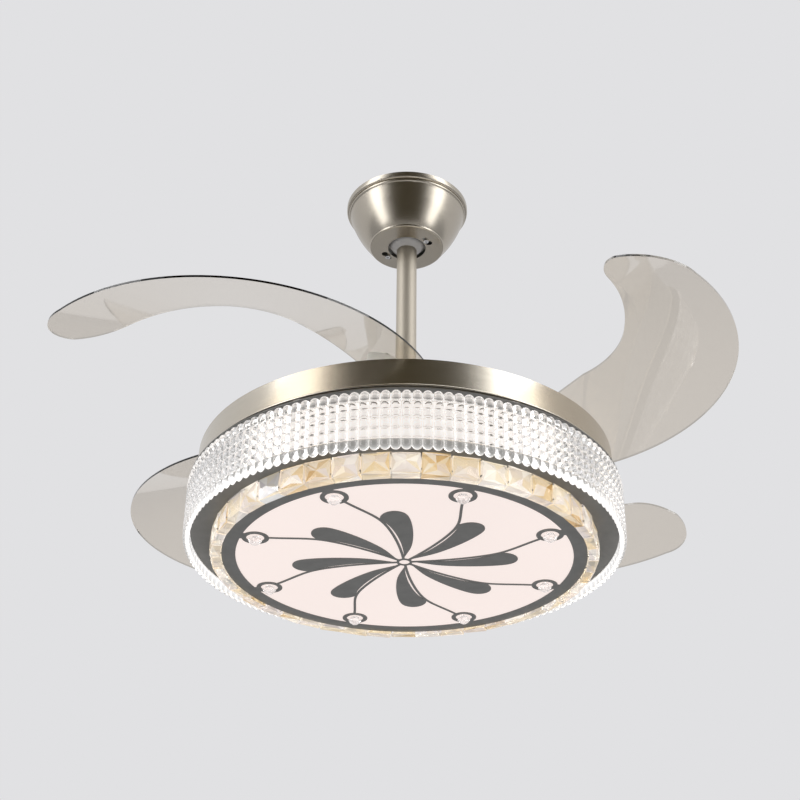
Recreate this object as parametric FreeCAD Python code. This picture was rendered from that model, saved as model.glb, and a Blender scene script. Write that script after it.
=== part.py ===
"""Ceiling fan with four folding clear blades over a round light drum.

The origin is on the ceiling, on the fan's axis, and Z points up, so every piece lies below zero.
All lengths are millimetres and all angles are degrees. The blades are modelled swung out.
"""
import FreeCAD
import Part
import math
import os

Vector = FreeCAD.Vector
UP = Vector(0, 0, 1)

# Stack of heights
pan_drop = 407.0
tray_clearance = 8.0
tray_sheet = 3.0
motor_height = 60.0
coupling_gap = 5.0
coupling_length = 50.0
coupling_socket = 30.0
shaft_socket = 19.0
ball_drop = 46.0

# Clearances
overrun = 1.0
slide_gap = 0.3
fit_gap = 0.1
turn_gap = 0.05
seat_gap = 0.05

# Screw sizes: small for plates and blades, large for the coupling
screw_shank = 2.0
screw_head = 3.6
screw_head_height = 2.2
screw_recess = 0.9
set_screw_radius = 2.5

# Hanger bracket
bracket_sheet = 3.0
bracket_length = 130.0
bracket_width = 40.0
bracket_hole_spacing = 110.0
bracket_hole_radius = 3.25
bracket_leg_span = 74.0
bracket_base_width = 64.0
seat_drop = 12.0
rod_slot_width = 30.0
lug_width = 6.0

# Canopy bell
canopy_radius = 82.6
canopy_depth = 66.0
canopy_sheet = 1.0
canopy_ceiling_gap = 0.5
canopy_lip_height = 5.0
canopy_groove_radius = 78.5
canopy_groove_depth = 8.5
canopy_ridge_height = 4.0
canopy_ridge_rise = 1.2
canopy_belly_radius = 67.0
canopy_belly_depth = 39.0
canopy_base_radius = 50.3
canopy_edge_radius = 2.5
canopy_hole_radius = 25.5
canopy_screw_ring = 31.5
canopy_screw_angle = 145.0
canopy_slot_length = 13.0
canopy_keyhole_radius = 4.5
canopy_screw_length = 10.0

# Remote receiver
receiver_length = 58.0
receiver_width = 34.0
receiver_height = 12.0
receiver_round = 2.5

# Hanger ball, pin and downrod
rod_radius = 13.35
rod_wall = 2.6
rod_above_ball = 18.0
ball_radius = 28.0
ball_top = 22.0
groove_depth = 5.0
pin_radius = 4.0
pin_length = 44.0
pin_rise = 11.0

# Coupling and its cover
coupling_radius = 19.0
coupling_bolt_radius = 3.0
coupling_bolt_drop = 18.0
coupling_set_drop = 7.0
bolt_head_radius = 5.6
bolt_head_height = 4.0
bolt_nut_height = 5.0
cover_sheet = 1.0
cover_radius = 40.0
cover_shoulder_radius = 24.0
cover_belly_radius = 36.0
cover_belly_drop = 22.0
cover_lift = 2.0

# Motor
shaft_radius = 8.5
shaft_bore = 5.0
shaft_below_pan = 17.0
bell_radius = 84.0
bell_wall = 4.0
bell_plate = 5.0
bell_flange_radius = 92.0
bell_flange_height = 3.0
bell_screw_ring = 88.0
bearing_radius = 20.0
bearing_width = 12.0
bearing_wall = 5.0
bearing_shoulder = 14.0
magnet_thickness = 6.0
magnet_height = 32.0
air_gap = 0.7
stator_height = 20.0
stator_yoke_radius = 38.0
tooth_width = 12.0
shoe_height = 6.0
coil_thickness = 3.6
coil_end = 4.5
tooth_count = 12
shoe_share = 0.82

# Motor cover
dome_radius = 101.0
dome_shoulder_radius = 88.0
dome_belly_radius = 98.0
dome_belly_drop = 10.0
dome_skirt_height = 18.0
dome_hole_radius = 24.0

# Blade tray
tray_radius = 212.0
tray_hole_radius = 24.0
tray_rim_height = 6.0
tray_rim_wall = 2.0
tray_screw_ring = 60.0
tray_screw_count = 6

# Blades: each is a piece of a slightly tilted cone, cut to a crescent
blade_count = 4
blade_centre_radius = 238.6
blade_centre_angle = -57.3
blade_inner_radius = 119.0
blade_outer_radius = 241.0
blade_middle_radius = 180.0
blade_lift = 49.0
blade_slope_share = 0.40
blade_tilt = 2.23
blade_tilt_heading = -88.0
blade_thickness = 2.5
blade_outline_shares = [
    [(1.0, 66.0), (1.0, 10.0), (1.0, -46.0)],
    [(1.0, -46.0), (0.90, -58.0), (0.62, -64.5)],
    [(0.62, -64.5), (0.38, -62.0), (0.20, -52.0)],
    [(0.20, -52.0), (0.075, -33.0), (0.0, -6.0)],
    [(0.0, -6.0), (0.0, 20.0), (0.0, 46.0)],
    [(0.0, 46.0), (0.075, 62.0), (0.25, 79.0)],
    [(0.25, 79.0), (0.52, 89.0), (0.80, 84.0)],
    [(0.80, 84.0), (0.95, 77.0), (1.0, 66.0)],
]

# Gears that fold the blades together
gear_module = 3.0
sector_teeth = 42
ring_teeth = 84
pressure_angle = 20.0
backlash = 0.5
gear_height = 8.0
flank_shares = [0.0, 0.35, 0.7, 1.0]
addendum_share = 0.95
dedendum_share = 1.25
sector_spare_teeth = 2
ring_inner_radius = 113.0

# Blade hubs and pivots
hub_radius = 24.0
hub_cavity_radius = 15.0
hub_cavity_height = 9.7
pivot_radius = 6.0
pivot_depth_in_hub = 11.0
bush_wall = 3.0
bush_flange_radius = 12.0
bush_flange_height = 3.0
clip_radius = 8.5
clip_thickness = 1.0
clip_groove_depth = 1.4
pivot_tail = 2.2
blade_screw_ring = 15.0
blade_screw_length = 8.0
blade_screw_angles = [75.0, 180.0, 285.0]
spring_radius = 12.0
spring_wire_radius = 0.9
spring_pitch = 3.0
spring_half_turns = 5

# Guides that hold the sync ring on the tray
guide_inner_radius = 104.5
guide_lip = 6.0
guide_lip_height = 2.5
guide_angle = 16.0

# Lamp pan
pan_bottom_radius = 255.6
pan_flare = 1.9
pan_height = 36.0
pan_sheet = 1.2
pan_lip_radius = 1.4
lamp_plate_radius = 70.0
lamp_plate_thickness = 3.0
lamp_screw_ring = 55.0
lamp_screw_count = 4
shaft_nut_radius = 14.0
shaft_nut_height = 8.0

# Bead band and the frame that holds it
band_drop = 43.5
band_height = 71.0
band_rows = 6
band_pan_gap = 0.7
band_wall = 3.2
bead_rise = 5.5
band_foot_depth = 5.3
band_foot_height = 3.5
band_segments = 12
band_seam = 0.4
band_overhang = 14.0
frame_sheet = 1.5
upper_ring_lap = 3.0
upper_ring_margin = 9.0
lower_ring_lap = 16.0
post_inset = 13.3
post_radius = 4.0
post_count = 6
reflector_inset = 11.0
reflector_wall = 1.6

# Light panel
flange_width = 39.8
collar_wall = 4.5
collar_height = 23.0
panel_thickness = 3.0
led_board_lap = 8.0
led_board_thickness = 1.6
led_size = 5.0
led_height = 1.0
led_rings = 4
led_ring_step = 44.0
leds_per_step = 6
driver_length = 110.0
driver_width = 50.0
driver_height = 26.0
driver_offset = 150.0
driver_round = 3.0
clip_count = 4
clip_angle = 42.0
panel_clip_width = 12.0
panel_clip_height = 6.0
panel_clip_sheet = 1.5
panel_clip_depth = 9.0
panel_clip_hook = 4.0

# Amber crystals round the panel
crystal_space = 1.9
crystal_width = 28.9
crystal_height = 26.5
crystal_gap = 0.3
crystal_stand_off = 1.8
crystal_base = 10.5
crystal_point = 5.0
crystal_table_share = 0.22
crystal_pin_radius = 0.8
crystal_pin_length = 14.0
crystal_pin_inset = 2.0

# Panel ornament
ornament_sheet = 0.8
ornament_ring_lap = 1.0
ornament_ring_width = 16.5
ornament_repeat = 8
ornament_turn = 19.9
eyelet_gap = 1.0
eyelet_neck_radius = 7.0
eyelet_radius = 16.0
eyelet_hole_radius = 10.5
stem_width = 3.2
hub_ring_radius = 9.4
hub_ring_hole = 6.3
stem_turn = 18.0
stem_shares = [
    (0.042, 0.0), (0.19, -0.002), (0.315, -0.011), (0.485, -0.036),
    (0.637, -0.084), (0.748, -0.156), (0.861, -0.240), (0.897, -0.264),
]
leaf_outer_shares = [
    (0.07, 0.006), (0.13, 0.032), (0.21, 0.065), (0.30, 0.088), (0.41, 0.104), (0.53, 0.111),
    (0.63, 0.106), (0.70, 0.083), (0.733, 0.032), (0.722, -0.026), (0.69, -0.059), (0.636, -0.0775),
]
leaf_inner_shares = [
    (0.636, -0.0775), (0.553, -0.036), (0.479, -0.0145), (0.32, 0.0095), (0.19, 0.0135), (0.07, 0.006),
]

# Clear crystals in the eyelets
stone_sides = 10
stone_radius = 8.4
stone_seat_radius = 5.4
stone_tip_radius = 3.5
stone_crown = 4.0
stone_pavilion = 5.0

# Heights worked out from the stack
pan_top = -pan_drop
tray_under = pan_top + tray_clearance
tray_top = tray_under + tray_sheet
motor_top = tray_top + motor_height
dome_top = motor_top + cover_sheet
coupling_bottom = dome_top + coupling_gap
coupling_top = coupling_bottom + coupling_length
rod_bottom = coupling_top - coupling_socket
rod_top = -ball_drop + rod_above_ball
ball_height = -ball_drop
plate_under = pan_top - pan_sheet - lamp_plate_thickness
band_top = pan_top - band_drop
band_bottom = band_top - band_height
lower_ring_top = band_bottom + band_overhang
lower_ring_under = lower_ring_top - frame_sheet
panel_under = lower_ring_under - collar_height
gear_low = tray_top + slide_gap
gear_high = gear_low + gear_height
blade_drop = pan_drop - blade_lift

# Radii of the drum worked out from its pan
pan_top_radius = pan_bottom_radius - pan_flare
band_inner_radius = pan_bottom_radius + band_pan_gap
band_base_radius = band_inner_radius + band_wall
band_bulge_radius = band_base_radius + bead_rise
post_ring = band_inner_radius - post_inset
upper_ring_outer = band_base_radius + upper_ring_lap
upper_ring_inner = post_ring - upper_ring_margin
reflector_radius = post_ring - reflector_inset
collar_radius = band_inner_radius - flange_width
lower_ring_inner = collar_radius - lower_ring_lap
led_board_radius = lower_ring_inner + led_board_lap
crystal_back_radius = collar_radius + crystal_stand_off
crystal_count = int(2 * math.pi * crystal_back_radius / (crystal_width + crystal_space))
ornament_ring_outer = collar_radius + ornament_ring_lap
ornament_ring_inner = ornament_ring_outer - ornament_ring_width
eyelet_ring = ornament_ring_inner - eyelet_gap - eyelet_radius

# Plan layout worked out from the gears and the blade
pivot_ring = gear_module * (sector_teeth + ring_teeth) / 2
fold_angle = 2 * math.degrees(math.asin(blade_centre_radius / 2 / pivot_ring))
pivot_angle = blade_centre_angle + 90 - fold_angle / 2
quarter = 360 / blade_count


def point(radius, angle, height=0):
    """A point by its distance from the axis, its angle and its height."""
    turn = math.radians(angle)
    return Vector(radius * math.cos(turn), radius * math.sin(turn), height)


def heading(way):
    """The plan angle of a direction."""
    return math.degrees(math.atan2(way.y, way.x))


def cylinder(radius, low, high, at=Vector()):
    """An upright cylinder between two heights."""
    return Part.makeCylinder(radius, high - low, Vector(at.x, at.y, low))


def tube(outer, inner, low, high, at=Vector()):
    """An upright ring between two heights."""
    return cylinder(outer, low, high, at).cut(cylinder(inner, low - overrun, high + overrun, at))


def block(x_size, y_size, low, high, at=Vector()):
    """A box centred on a plan point, between two heights."""
    corner = Vector(at.x - x_size / 2, at.y - y_size / 2, low)
    return Part.makeBox(x_size, y_size, high - low, corner)


def bar(radius, start, end):
    """A round bar from one point to another."""
    way = end - start
    return Part.makeCylinder(radius, way.Length, start, way)


def turned_copy(shape, angle, centre=Vector()):
    """A copy turned about an upright axis."""
    copy = shape.copy()
    copy.rotate(centre, UP, angle)
    return copy


def around(shape, count, first=0):
    """Copies spaced evenly about the fan's axis."""
    return [turned_copy(shape, first + k * 360 / count) for k in range(count)]


def outline_edges(start, moves):
    """Edges through plane points: a move of one point is a line, a move of two is an arc."""
    edges = []
    here = start
    for move in moves:
        if len(move) == 1:
            edges.append(Part.makeLine(here, move[0]))
        else:
            edges.append(Part.Arc(here, move[0], move[1]).toShape())
        here = move[-1]
    if here.distanceToPoint(start) > seat_gap:
        edges.append(Part.makeLine(here, start))
    return edges


def spun(start, *moves, sweep=360):
    """A solid turned about the axis from points given as radius and height."""
    def lift(pair):
        return Vector(pair[0], 0, pair[1])
    lifted = [[lift(pair) for pair in move] for move in moves]
    face = Part.Face(Part.Wire(outline_edges(lift(start), lifted)))
    return face.revolve(Vector(), UP, sweep)


def joined(shapes):
    """One solid from shapes that touch."""
    first, *rest = shapes
    return first.multiFuse(rest).removeSplitter()


def placed(shape, base, axis):
    """A shape drawn along Z, moved to a point and aimed along an axis."""
    copy = shape.copy()
    copy.Placement = FreeCAD.Placement(base, FreeCAD.Rotation(UP, axis))
    return copy


def screw(length, shank=screw_shank, head=screw_head, head_height=screw_head_height):
    """A pan-head screw: the head's seat is at zero and the shank points down."""
    body = Part.makeCylinder(shank, length, Vector(0, 0, -length)).fuse(Part.makeCylinder(head, head_height))
    recess = block(head, screw_recess, head_height - screw_recess, head_height + overrun)
    return body.cut(recess).cut(turned_copy(recess, 90))


def hexagon(radius, height):
    """A six-sided prism standing on zero."""
    corners = [point(radius, k * 60) for k in range(7)]
    return Part.Face(Part.makePolygon(corners)).extrude(Vector(0, 0, height))


def save(name, *shapes):
    """Write a node's solids and say what they hold."""
    solids = [solid for shape in shapes for solid in shape.Solids]
    body = solids[0] if len(solids) == 1 else Part.makeCompound(solids)
    body.exportStep("parts/" + name + ".step")
    print(name, len(solids), "solids", round(sum(solid.Volume for solid in solids)), body.isValid())


# Ceiling mount


def bracket_base_height():
    """Top of the plate that the hanger ball sits in."""
    return ball_height - seat_drop


def hanger_bracket():
    """A folded strip with a seat for the ball, a side slot for the rod and a lug in the ball's groove."""
    base_top = bracket_base_height()
    base_low = base_top - bracket_sheet
    top = block(bracket_length, bracket_width, -bracket_sheet, 0)
    for side in (-1, 1):
        hole = Vector(side * bracket_hole_spacing / 2, 0, 0)
        top = top.cut(cylinder(bracket_hole_radius, -bracket_sheet - overrun, overrun, hole))
    leg_at = Vector(bracket_leg_span / 2 - bracket_sheet / 2, 0, 0)
    legs = [block(bracket_sheet, bracket_width, base_low, 0, leg_at * side) for side in (-1, 1)]
    base = block(bracket_leg_span, bracket_base_width, base_low, base_top)
    seat = Part.makeSphere(ball_radius + slide_gap, Vector(0, 0, ball_height))
    slot_at = Vector(0, -bracket_base_width / 2, 0)
    slot = block(rod_slot_width, bracket_base_width, base_low - overrun, base_top + overrun, slot_at)
    base = base.cut(seat).cut(slot)
    for angle in (canopy_screw_angle, canopy_screw_angle + 180):
        at = point(canopy_screw_ring, angle)
        base = base.cut(cylinder(screw_shank + turn_gap, base_low - overrun, base_top + overrun, at))
    lug_tip = ball_radius - groove_depth + slide_gap
    lug = block(lug_width, ball_radius, base_low, base_top, Vector(0, ball_radius, 0))
    core = Part.makeCylinder(lug_tip, lug_width * 2, Vector(-lug_width, 0, ball_height), Vector(1, 0, 0))
    return joined([top, *legs, base, lug.cut(core)])


def canopy_path(inset):
    """The bell's side from rim to hole, moved in by its sheet."""
    rim = -canopy_ceiling_gap
    lip_low = rim - canopy_lip_height
    lip_step = canopy_radius - canopy_groove_radius
    ridge_low = -canopy_groove_depth - canopy_ridge_height
    ridge_middle = -canopy_groove_depth - canopy_ridge_height / 2
    edge = canopy_edge_radius
    edge_mid = edge * math.sin(math.radians(45))

    def at(radius, height):
        return (radius - inset, height + inset)
    return [
        at(canopy_radius, rim),
        [at(canopy_radius, lip_low)],
        [at(canopy_radius - lip_step / 4, -canopy_groove_depth + lip_step / 4),
         at(canopy_groove_radius, -canopy_groove_depth)],
        [at(canopy_groove_radius + canopy_ridge_rise, ridge_middle), at(canopy_groove_radius, ridge_low)],
        [at(canopy_groove_radius - canopy_sheet, ridge_low - canopy_sheet)],
        [at(canopy_belly_radius, -canopy_belly_depth), at(canopy_base_radius, -canopy_depth + edge)],
        [at(canopy_base_radius - edge + edge_mid, -canopy_depth + edge - edge_mid),
         at(canopy_base_radius - edge, -canopy_depth)],
        [at(0, -canopy_depth)],
        [at(0, rim)],
    ]


def canopy():
    """The bell that covers the bracket, with a hole for the ball and two keyhole slots for its screws."""
    outer_start, *outer = canopy_path(0)
    inner_start, *inner = canopy_path(canopy_sheet)
    inner[-2] = [(0, -canopy_depth + canopy_sheet)]
    inner[-1] = [(0, -canopy_ceiling_gap + canopy_sheet)]
    bell = spun(outer_start, *outer).cut(spun(inner_start, *inner))
    low = -canopy_depth - overrun
    high = -canopy_depth + canopy_sheet + overrun
    bell = bell.cut(cylinder(canopy_hole_radius, low, high))
    for angle in (canopy_screw_angle, canopy_screw_angle + 180):
        at = point(canopy_screw_ring, angle)
        slot = block(screw_shank * 2 + slide_gap, canopy_slot_length, low, high, at)
        keyhole = cylinder(canopy_keyhole_radius, low, high, at + Vector(0, canopy_slot_length / 2, 0))
        bell = bell.cut(turned_copy(slot.fuse(keyhole), angle, at))
    return bell


def canopy_screws():
    """Two screws up through the canopy's slots into the bracket."""
    seat = point(canopy_screw_ring, canopy_screw_angle, -canopy_depth)
    return around(placed(screw(canopy_screw_length), seat, UP * -1), 2)


def receiver_box():
    """The remote control's receiver, under the bracket's top plate."""
    body = block(receiver_length, receiver_width, -bracket_sheet - receiver_height, -bracket_sheet)
    return body.makeFillet(receiver_round, [edge for edge in body.Edges if abs(edge.tangentAt(0).z) > 0.9])


# Hanging part


def hanger_ball():
    """The ball that carries the rod, with a slot for the pin and a groove for the bracket's lug."""
    centre = Vector(0, 0, ball_height)
    ball = Part.makeSphere(ball_radius, centre)
    reach = ball_radius * 2
    ball = ball.cut(block(reach, reach, ball_height + ball_top, ball_height + reach))
    ball = ball.cut(cylinder(rod_radius + fit_gap, ball_height - reach, ball_height + reach))
    pin_height = ball_height + pin_rise
    slot_width = (pin_radius + fit_gap) * 2
    ball = ball.cut(block(reach, slot_width, pin_height, ball_height + reach))
    end = Vector(ball_radius, 0, pin_height)
    ball = ball.cut(bar(pin_radius + fit_gap, end * -1 + Vector(0, 0, 2 * pin_height), end))
    groove_width = lug_width + 2 * slide_gap
    along = Vector(1, 0, 0)
    start = Vector(-groove_width / 2, 0, ball_height)
    ring = Part.makeCylinder(reach, groove_width, start, along)
    ring = ring.cut(Part.makeCylinder(ball_radius - groove_depth, groove_width, start, along))
    half = block(reach, reach, ball_height - reach, ball_height + ball_top / 2, Vector(0, ball_radius, 0))
    return ball.cut(ring.common(half))


def ball_pin():
    """The pin through the rod that rests in the ball."""
    end = Vector(pin_length / 2, 0, 0)
    lift = Vector(0, 0, ball_height + pin_rise)
    return bar(pin_radius, lift - end, lift + end)


def downrod():
    """The pipe between the ball and the coupling, drilled for the pin and the bolt."""
    rod = tube(rod_radius, rod_radius - rod_wall, rod_bottom, rod_top)
    reach = Vector(rod_radius + overrun, 0, 0)
    pin_at = Vector(0, 0, ball_height + pin_rise)
    bolt_at = Vector(0, 0, coupling_top - coupling_bolt_drop)
    rod = rod.cut(bar(pin_radius + fit_gap, pin_at - reach, pin_at + reach))
    return rod.cut(bar(coupling_bolt_radius + fit_gap, bolt_at - reach, bolt_at + reach))


def coupling():
    """The socket that joins the rod to the motor shaft."""
    body = cylinder(coupling_radius, coupling_bottom, coupling_top)
    body = body.cut(cylinder(rod_radius + fit_gap, rod_bottom, coupling_top + overrun))
    body = body.cut(cylinder(shaft_bore, coupling_bottom, coupling_top))
    socket_end = coupling_bottom + shaft_socket
    body = body.cut(cylinder(shaft_radius + turn_gap, coupling_bottom - overrun, socket_end))
    reach = Vector(coupling_radius + overrun, 0, 0)
    bolt_at = Vector(0, 0, coupling_top - coupling_bolt_drop)
    body = body.cut(bar(coupling_bolt_radius + fit_gap, bolt_at - reach, bolt_at + reach))
    for start, end in set_screw_ends():
        body = body.cut(bar(set_screw_radius + turn_gap, start, end))
    return body


def set_screw_ends():
    """Inner and outer ends of the screws that pinch the rod and the shaft."""
    rod_level = coupling_top - coupling_set_drop
    shaft_level = coupling_bottom + shaft_socket / 2
    ends = []
    for side in (-1, 1):
        for inner, level in ((rod_radius, rod_level), (shaft_radius, shaft_level)):
            start = Vector(0, side * (inner + turn_gap), level)
            ends.append((start, Vector(0, side * coupling_radius, level)))
    return ends


def coupling_bolt():
    """The bolt across the coupling and the rod, with its nut."""
    level = coupling_top - coupling_bolt_drop
    along = Vector(1, 0, 0)
    seat = Vector(coupling_radius, 0, level)
    far = Vector(-coupling_radius - bolt_nut_height - overrun, 0, level)
    head = placed(hexagon(bolt_head_radius, bolt_head_height), seat, along)
    bolt = head.fuse(bar(coupling_bolt_radius, seat, far)).removeSplitter()
    nut_at = Vector(-coupling_radius, 0, level)
    nut = placed(hexagon(bolt_head_radius, bolt_nut_height), nut_at, along * -1)
    return bolt, nut.cut(bar(coupling_bolt_radius + turn_gap, nut_at, far))


def coupling_cover():
    """A small bell that sits on the coupling and hides it."""
    low = dome_top + cover_lift
    drop = coupling_top - low

    def path(inset):
        top = coupling_top + cover_sheet - inset
        return [
            (0, low - inset),
            [(cover_radius - inset, low - inset)],
            [(cover_belly_radius - inset, low + drop - cover_belly_drop),
             (cover_shoulder_radius - inset, top)],
            [(0, top)],
        ]
    outer_start, *outer = path(0)
    inner_start, *inner = path(cover_sheet)
    bell = spun(outer_start, *outer).cut(spun(inner_start, *inner))
    return bell.cut(cylinder(rod_radius + slide_gap, low, coupling_top + overrun + cover_sheet))


def motor_shaft():
    """The hollow shaft that stays still while the rotor turns round it."""
    return tube(shaft_radius, shaft_bore, pan_top - shaft_below_pan, coupling_bottom + shaft_socket - fit_gap)


def stator_middle():
    """Height of the middle of the stator."""
    return tray_top + motor_height / 2


def stator_radius():
    """Outer radius of the stator, inside the magnets."""
    return bell_radius - bell_wall - fit_gap - magnet_thickness - air_gap


def stator_core():
    """The laminated core: a yoke with teeth and shoes."""
    low = stator_middle() - stator_height / 2
    high = stator_middle() + stator_height / 2
    outer = stator_radius()
    shoe_inner = outer - shoe_height
    yoke = cylinder(stator_yoke_radius, low, high)
    reach = (shoe_inner + outer) / 2
    tooth = block(reach, tooth_width, low, high, Vector(reach / 2, 0, 0))
    sweep = shoe_share * 360 / tooth_count
    shoe = spun((shoe_inner, low), [(outer, low)], [(outer, high)], [(shoe_inner, high)], sweep=sweep)
    shoe = turned_copy(shoe, -sweep / 2)
    core = joined([yoke, *around(tooth, tooth_count), *around(shoe, tooth_count)])
    return core.cut(cylinder(shaft_radius + turn_gap, low - overrun, high + overrun))


def stator_windings():
    """A coil round each tooth."""
    low = stator_middle() - stator_height / 2
    high = stator_middle() + stator_height / 2
    hole_width = tooth_width + 2 * fit_gap
    coil_width = hole_width + 2 * coil_thickness
    start = stator_yoke_radius + coil_end / 2
    shoe_inner = stator_radius() - shoe_height
    end = math.sqrt(shoe_inner ** 2 - (coil_width / 2) ** 2) - slide_gap
    middle = Vector((start + end) / 2, 0, 0)
    depth = end - start
    coil = block(depth, coil_width, low - coil_end, high + coil_end, middle)
    edges = [edge for edge in coil.Edges if abs(edge.tangentAt(0).x) > 0.9]
    coil = coil.makeFillet(coil_thickness, edges)
    coil = coil.cut(block(depth + overrun, hole_width, low - fit_gap, high + fit_gap, middle))
    return around(coil, tooth_count)


def shaft_nut():
    """The nut under the lamp plate."""
    low = plate_under - shaft_nut_height
    nut = placed(hexagon(shaft_nut_radius, shaft_nut_height), Vector(0, 0, low), UP)
    return nut.cut(cylinder(shaft_radius + turn_gap, low - overrun, plate_under + overrun))


def lamp_plate():
    """The plate on the shaft that carries the drum."""
    high = plate_under + lamp_plate_thickness
    plate = tube(lamp_plate_radius, shaft_radius + turn_gap, plate_under, high)
    for k in range(lamp_screw_count):
        at = point(lamp_screw_ring, k * 360 / lamp_screw_count)
        plate = plate.cut(cylinder(screw_shank + turn_gap, plate_under - overrun, high + overrun, at))
    return plate


def lamp_pan():
    """The brushed pan: a flat top and a wall with a rolled lower lip."""
    low = pan_top - pan_height
    lip = pan_lip_radius
    hole = shaft_radius + slide_gap
    under = pan_top - pan_sheet
    pan = spun(
        (hole, pan_top), [(pan_top_radius, pan_top)], [(pan_bottom_radius, low + 2 * lip)],
        [(pan_bottom_radius + lip, low + lip), (pan_bottom_radius, low)],
        [(pan_bottom_radius - pan_sheet, low)], [(pan_top_radius - pan_sheet, under)], [(hole, under)])
    for k in range(lamp_screw_count):
        at = point(lamp_screw_ring, k * 360 / lamp_screw_count)
        pan = pan.cut(cylinder(screw_shank + turn_gap, under - overrun, pan_top + overrun, at))
    return pan


def pan_screws():
    """Screws down through the pan into the lamp plate."""
    length = pan_sheet + lamp_plate_thickness
    return around(placed(screw(length), Vector(lamp_screw_ring, 0, pan_top), UP), lamp_screw_count)


def frame_posts():
    """Posts that hang the lower frame ring from the pan."""
    post = cylinder(post_radius, lower_ring_top, pan_top - pan_sheet, point(post_ring, 0))
    return around(post, post_count)


def upper_frame_ring():
    """The dark ring that caps the bead band."""
    high = band_top + frame_sheet
    ring = tube(upper_ring_outer, upper_ring_inner, band_top, high)
    for k in range(post_count):
        at = point(post_ring, k * 360 / post_count)
        ring = ring.cut(cylinder(post_radius + slide_gap, band_top - overrun, high + overrun, at))
    return ring


def bead_band():
    """The clear band: rows of beads drawn as ribs, in curved segments that stand on the lower ring."""
    row = band_height / band_rows
    foot_radius = band_inner_radius - band_foot_depth
    moves = []
    for k in range(band_rows):
        low = band_bottom + k * row
        moves.append([(band_bulge_radius, low + row / 2), (band_base_radius, low + row)])
    moves.append([(band_inner_radius, band_top)])
    moves.append([(band_inner_radius, lower_ring_top + band_foot_height)])
    moves.append([(foot_radius, lower_ring_top + band_foot_height)])
    moves.append([(foot_radius, lower_ring_top)])
    moves.append([(band_inner_radius, lower_ring_top)])
    moves.append([(band_inner_radius, band_bottom)])
    seam = math.degrees(band_seam / band_inner_radius)
    segment = spun((band_base_radius, band_bottom), *moves, sweep=360 / band_segments - seam)
    return around(segment, band_segments)


def band_reflector():
    """The white wall behind the beads that carries the LED strip."""
    return tube(reflector_radius, reflector_radius - reflector_wall, lower_ring_top, band_top - slide_gap)


def lower_frame_ring():
    """The dark flat ring seen from below between the beads and the crystals."""
    return tube(band_inner_radius - slide_gap, lower_ring_inner, lower_ring_under, lower_ring_top)


def crystal_collar():
    """The wall under the lower ring that the crystals stand round, with slots for the panel's clips."""
    wall = tube(collar_radius, collar_radius - collar_wall, panel_under, lower_ring_under)
    low, high = clip_hook_heights()
    slot_width = panel_clip_width + 2 * slide_gap
    middle = Vector(collar_radius - collar_wall / 2, 0, 0)
    slot = block(collar_wall * 2, slot_width, low - slide_gap, high + slide_gap, middle)
    return wall.cut(Part.makeCompound(around(slot, clip_count, clip_angle)))


def clip_hook_heights():
    """Lower and upper face of a panel clip's hook."""
    high = panel_under + panel_thickness + panel_clip_height
    return high - panel_clip_sheet, high


def panel_clips():
    """Sheet clips on the panel's upper side that hook into the collar."""
    low = panel_under + panel_thickness
    inner_face = collar_radius - collar_wall - slide_gap
    hook_low, hook_high = clip_hook_heights()
    foot_at = Vector(inner_face - panel_clip_depth / 2, 0, 0)
    foot = block(panel_clip_depth, panel_clip_width, low, low + panel_clip_sheet, foot_at)
    hook_start = inner_face - panel_clip_sheet
    wall = block(panel_clip_sheet, panel_clip_width, low, hook_high, Vector(hook_start, 0, 0))
    hook_at = Vector(hook_start + panel_clip_hook / 2, 0, 0)
    hook = block(panel_clip_hook, panel_clip_width, hook_low, hook_high, hook_at)
    return around(joined([foot, wall, hook]), clip_count, clip_angle)


def amber_crystal():
    """One square stone: a block that widens to the front, with a four-sided point cut to a small table."""
    centre = lower_ring_under - crystal_gap - crystal_height / 2
    front = crystal_back_radius + crystal_base
    front_share = front / crystal_back_radius
    sections = [
        (crystal_back_radius, 1, 1),
        (front, front_share, 1),
        (front + crystal_point, front_share * crystal_table_share, crystal_table_share),
    ]
    wires = []
    for radius, wide, tall in sections:
        half = wide * crystal_width / 2
        rise = tall * crystal_height / 2
        corners = [(-half, -rise), (half, -rise), (half, rise), (-half, rise), (-half, -rise)]
        wires.append(Part.makePolygon([Vector(radius, y, centre + z) for y, z in corners]))
    return Part.makeLoft(wires, True, True)


def crystal_pins():
    """Small pins between the stones, near their upper and lower edges."""
    high = lower_ring_under - crystal_gap - crystal_pin_inset
    low = panel_under + crystal_pin_inset
    pins = []
    for level in (low, high):
        start = Vector(collar_radius, 0, level)
        pin = bar(crystal_pin_radius, start, start + Vector(crystal_pin_length, 0, 0))
        pins += around(pin, crystal_count, 180 / crystal_count)
    return pins


def diffuser_panel():
    """The frosted disc."""
    return cylinder(collar_radius - collar_wall - slide_gap, panel_under, panel_under + panel_thickness)


def ornament_point(pair, turn):
    """A point of the ornament from its shares of the eyelets' ring, along and across a radius."""
    along, across = (share * eyelet_ring for share in pair)
    flat = Vector(along, across, panel_under - ornament_sheet)
    return FreeCAD.Rotation(UP, turn).multVec(flat)


def curve(points):
    """A smooth edge through points."""
    line = Part.BSplineCurve()
    line.interpolate(points)
    return line.toShape()


def raised(edges):
    """A sheet of the ornament's thickness from edges that close."""
    return Part.Face(Part.Wire(edges)).extrude(Vector(0, 0, ornament_sheet))


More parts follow.
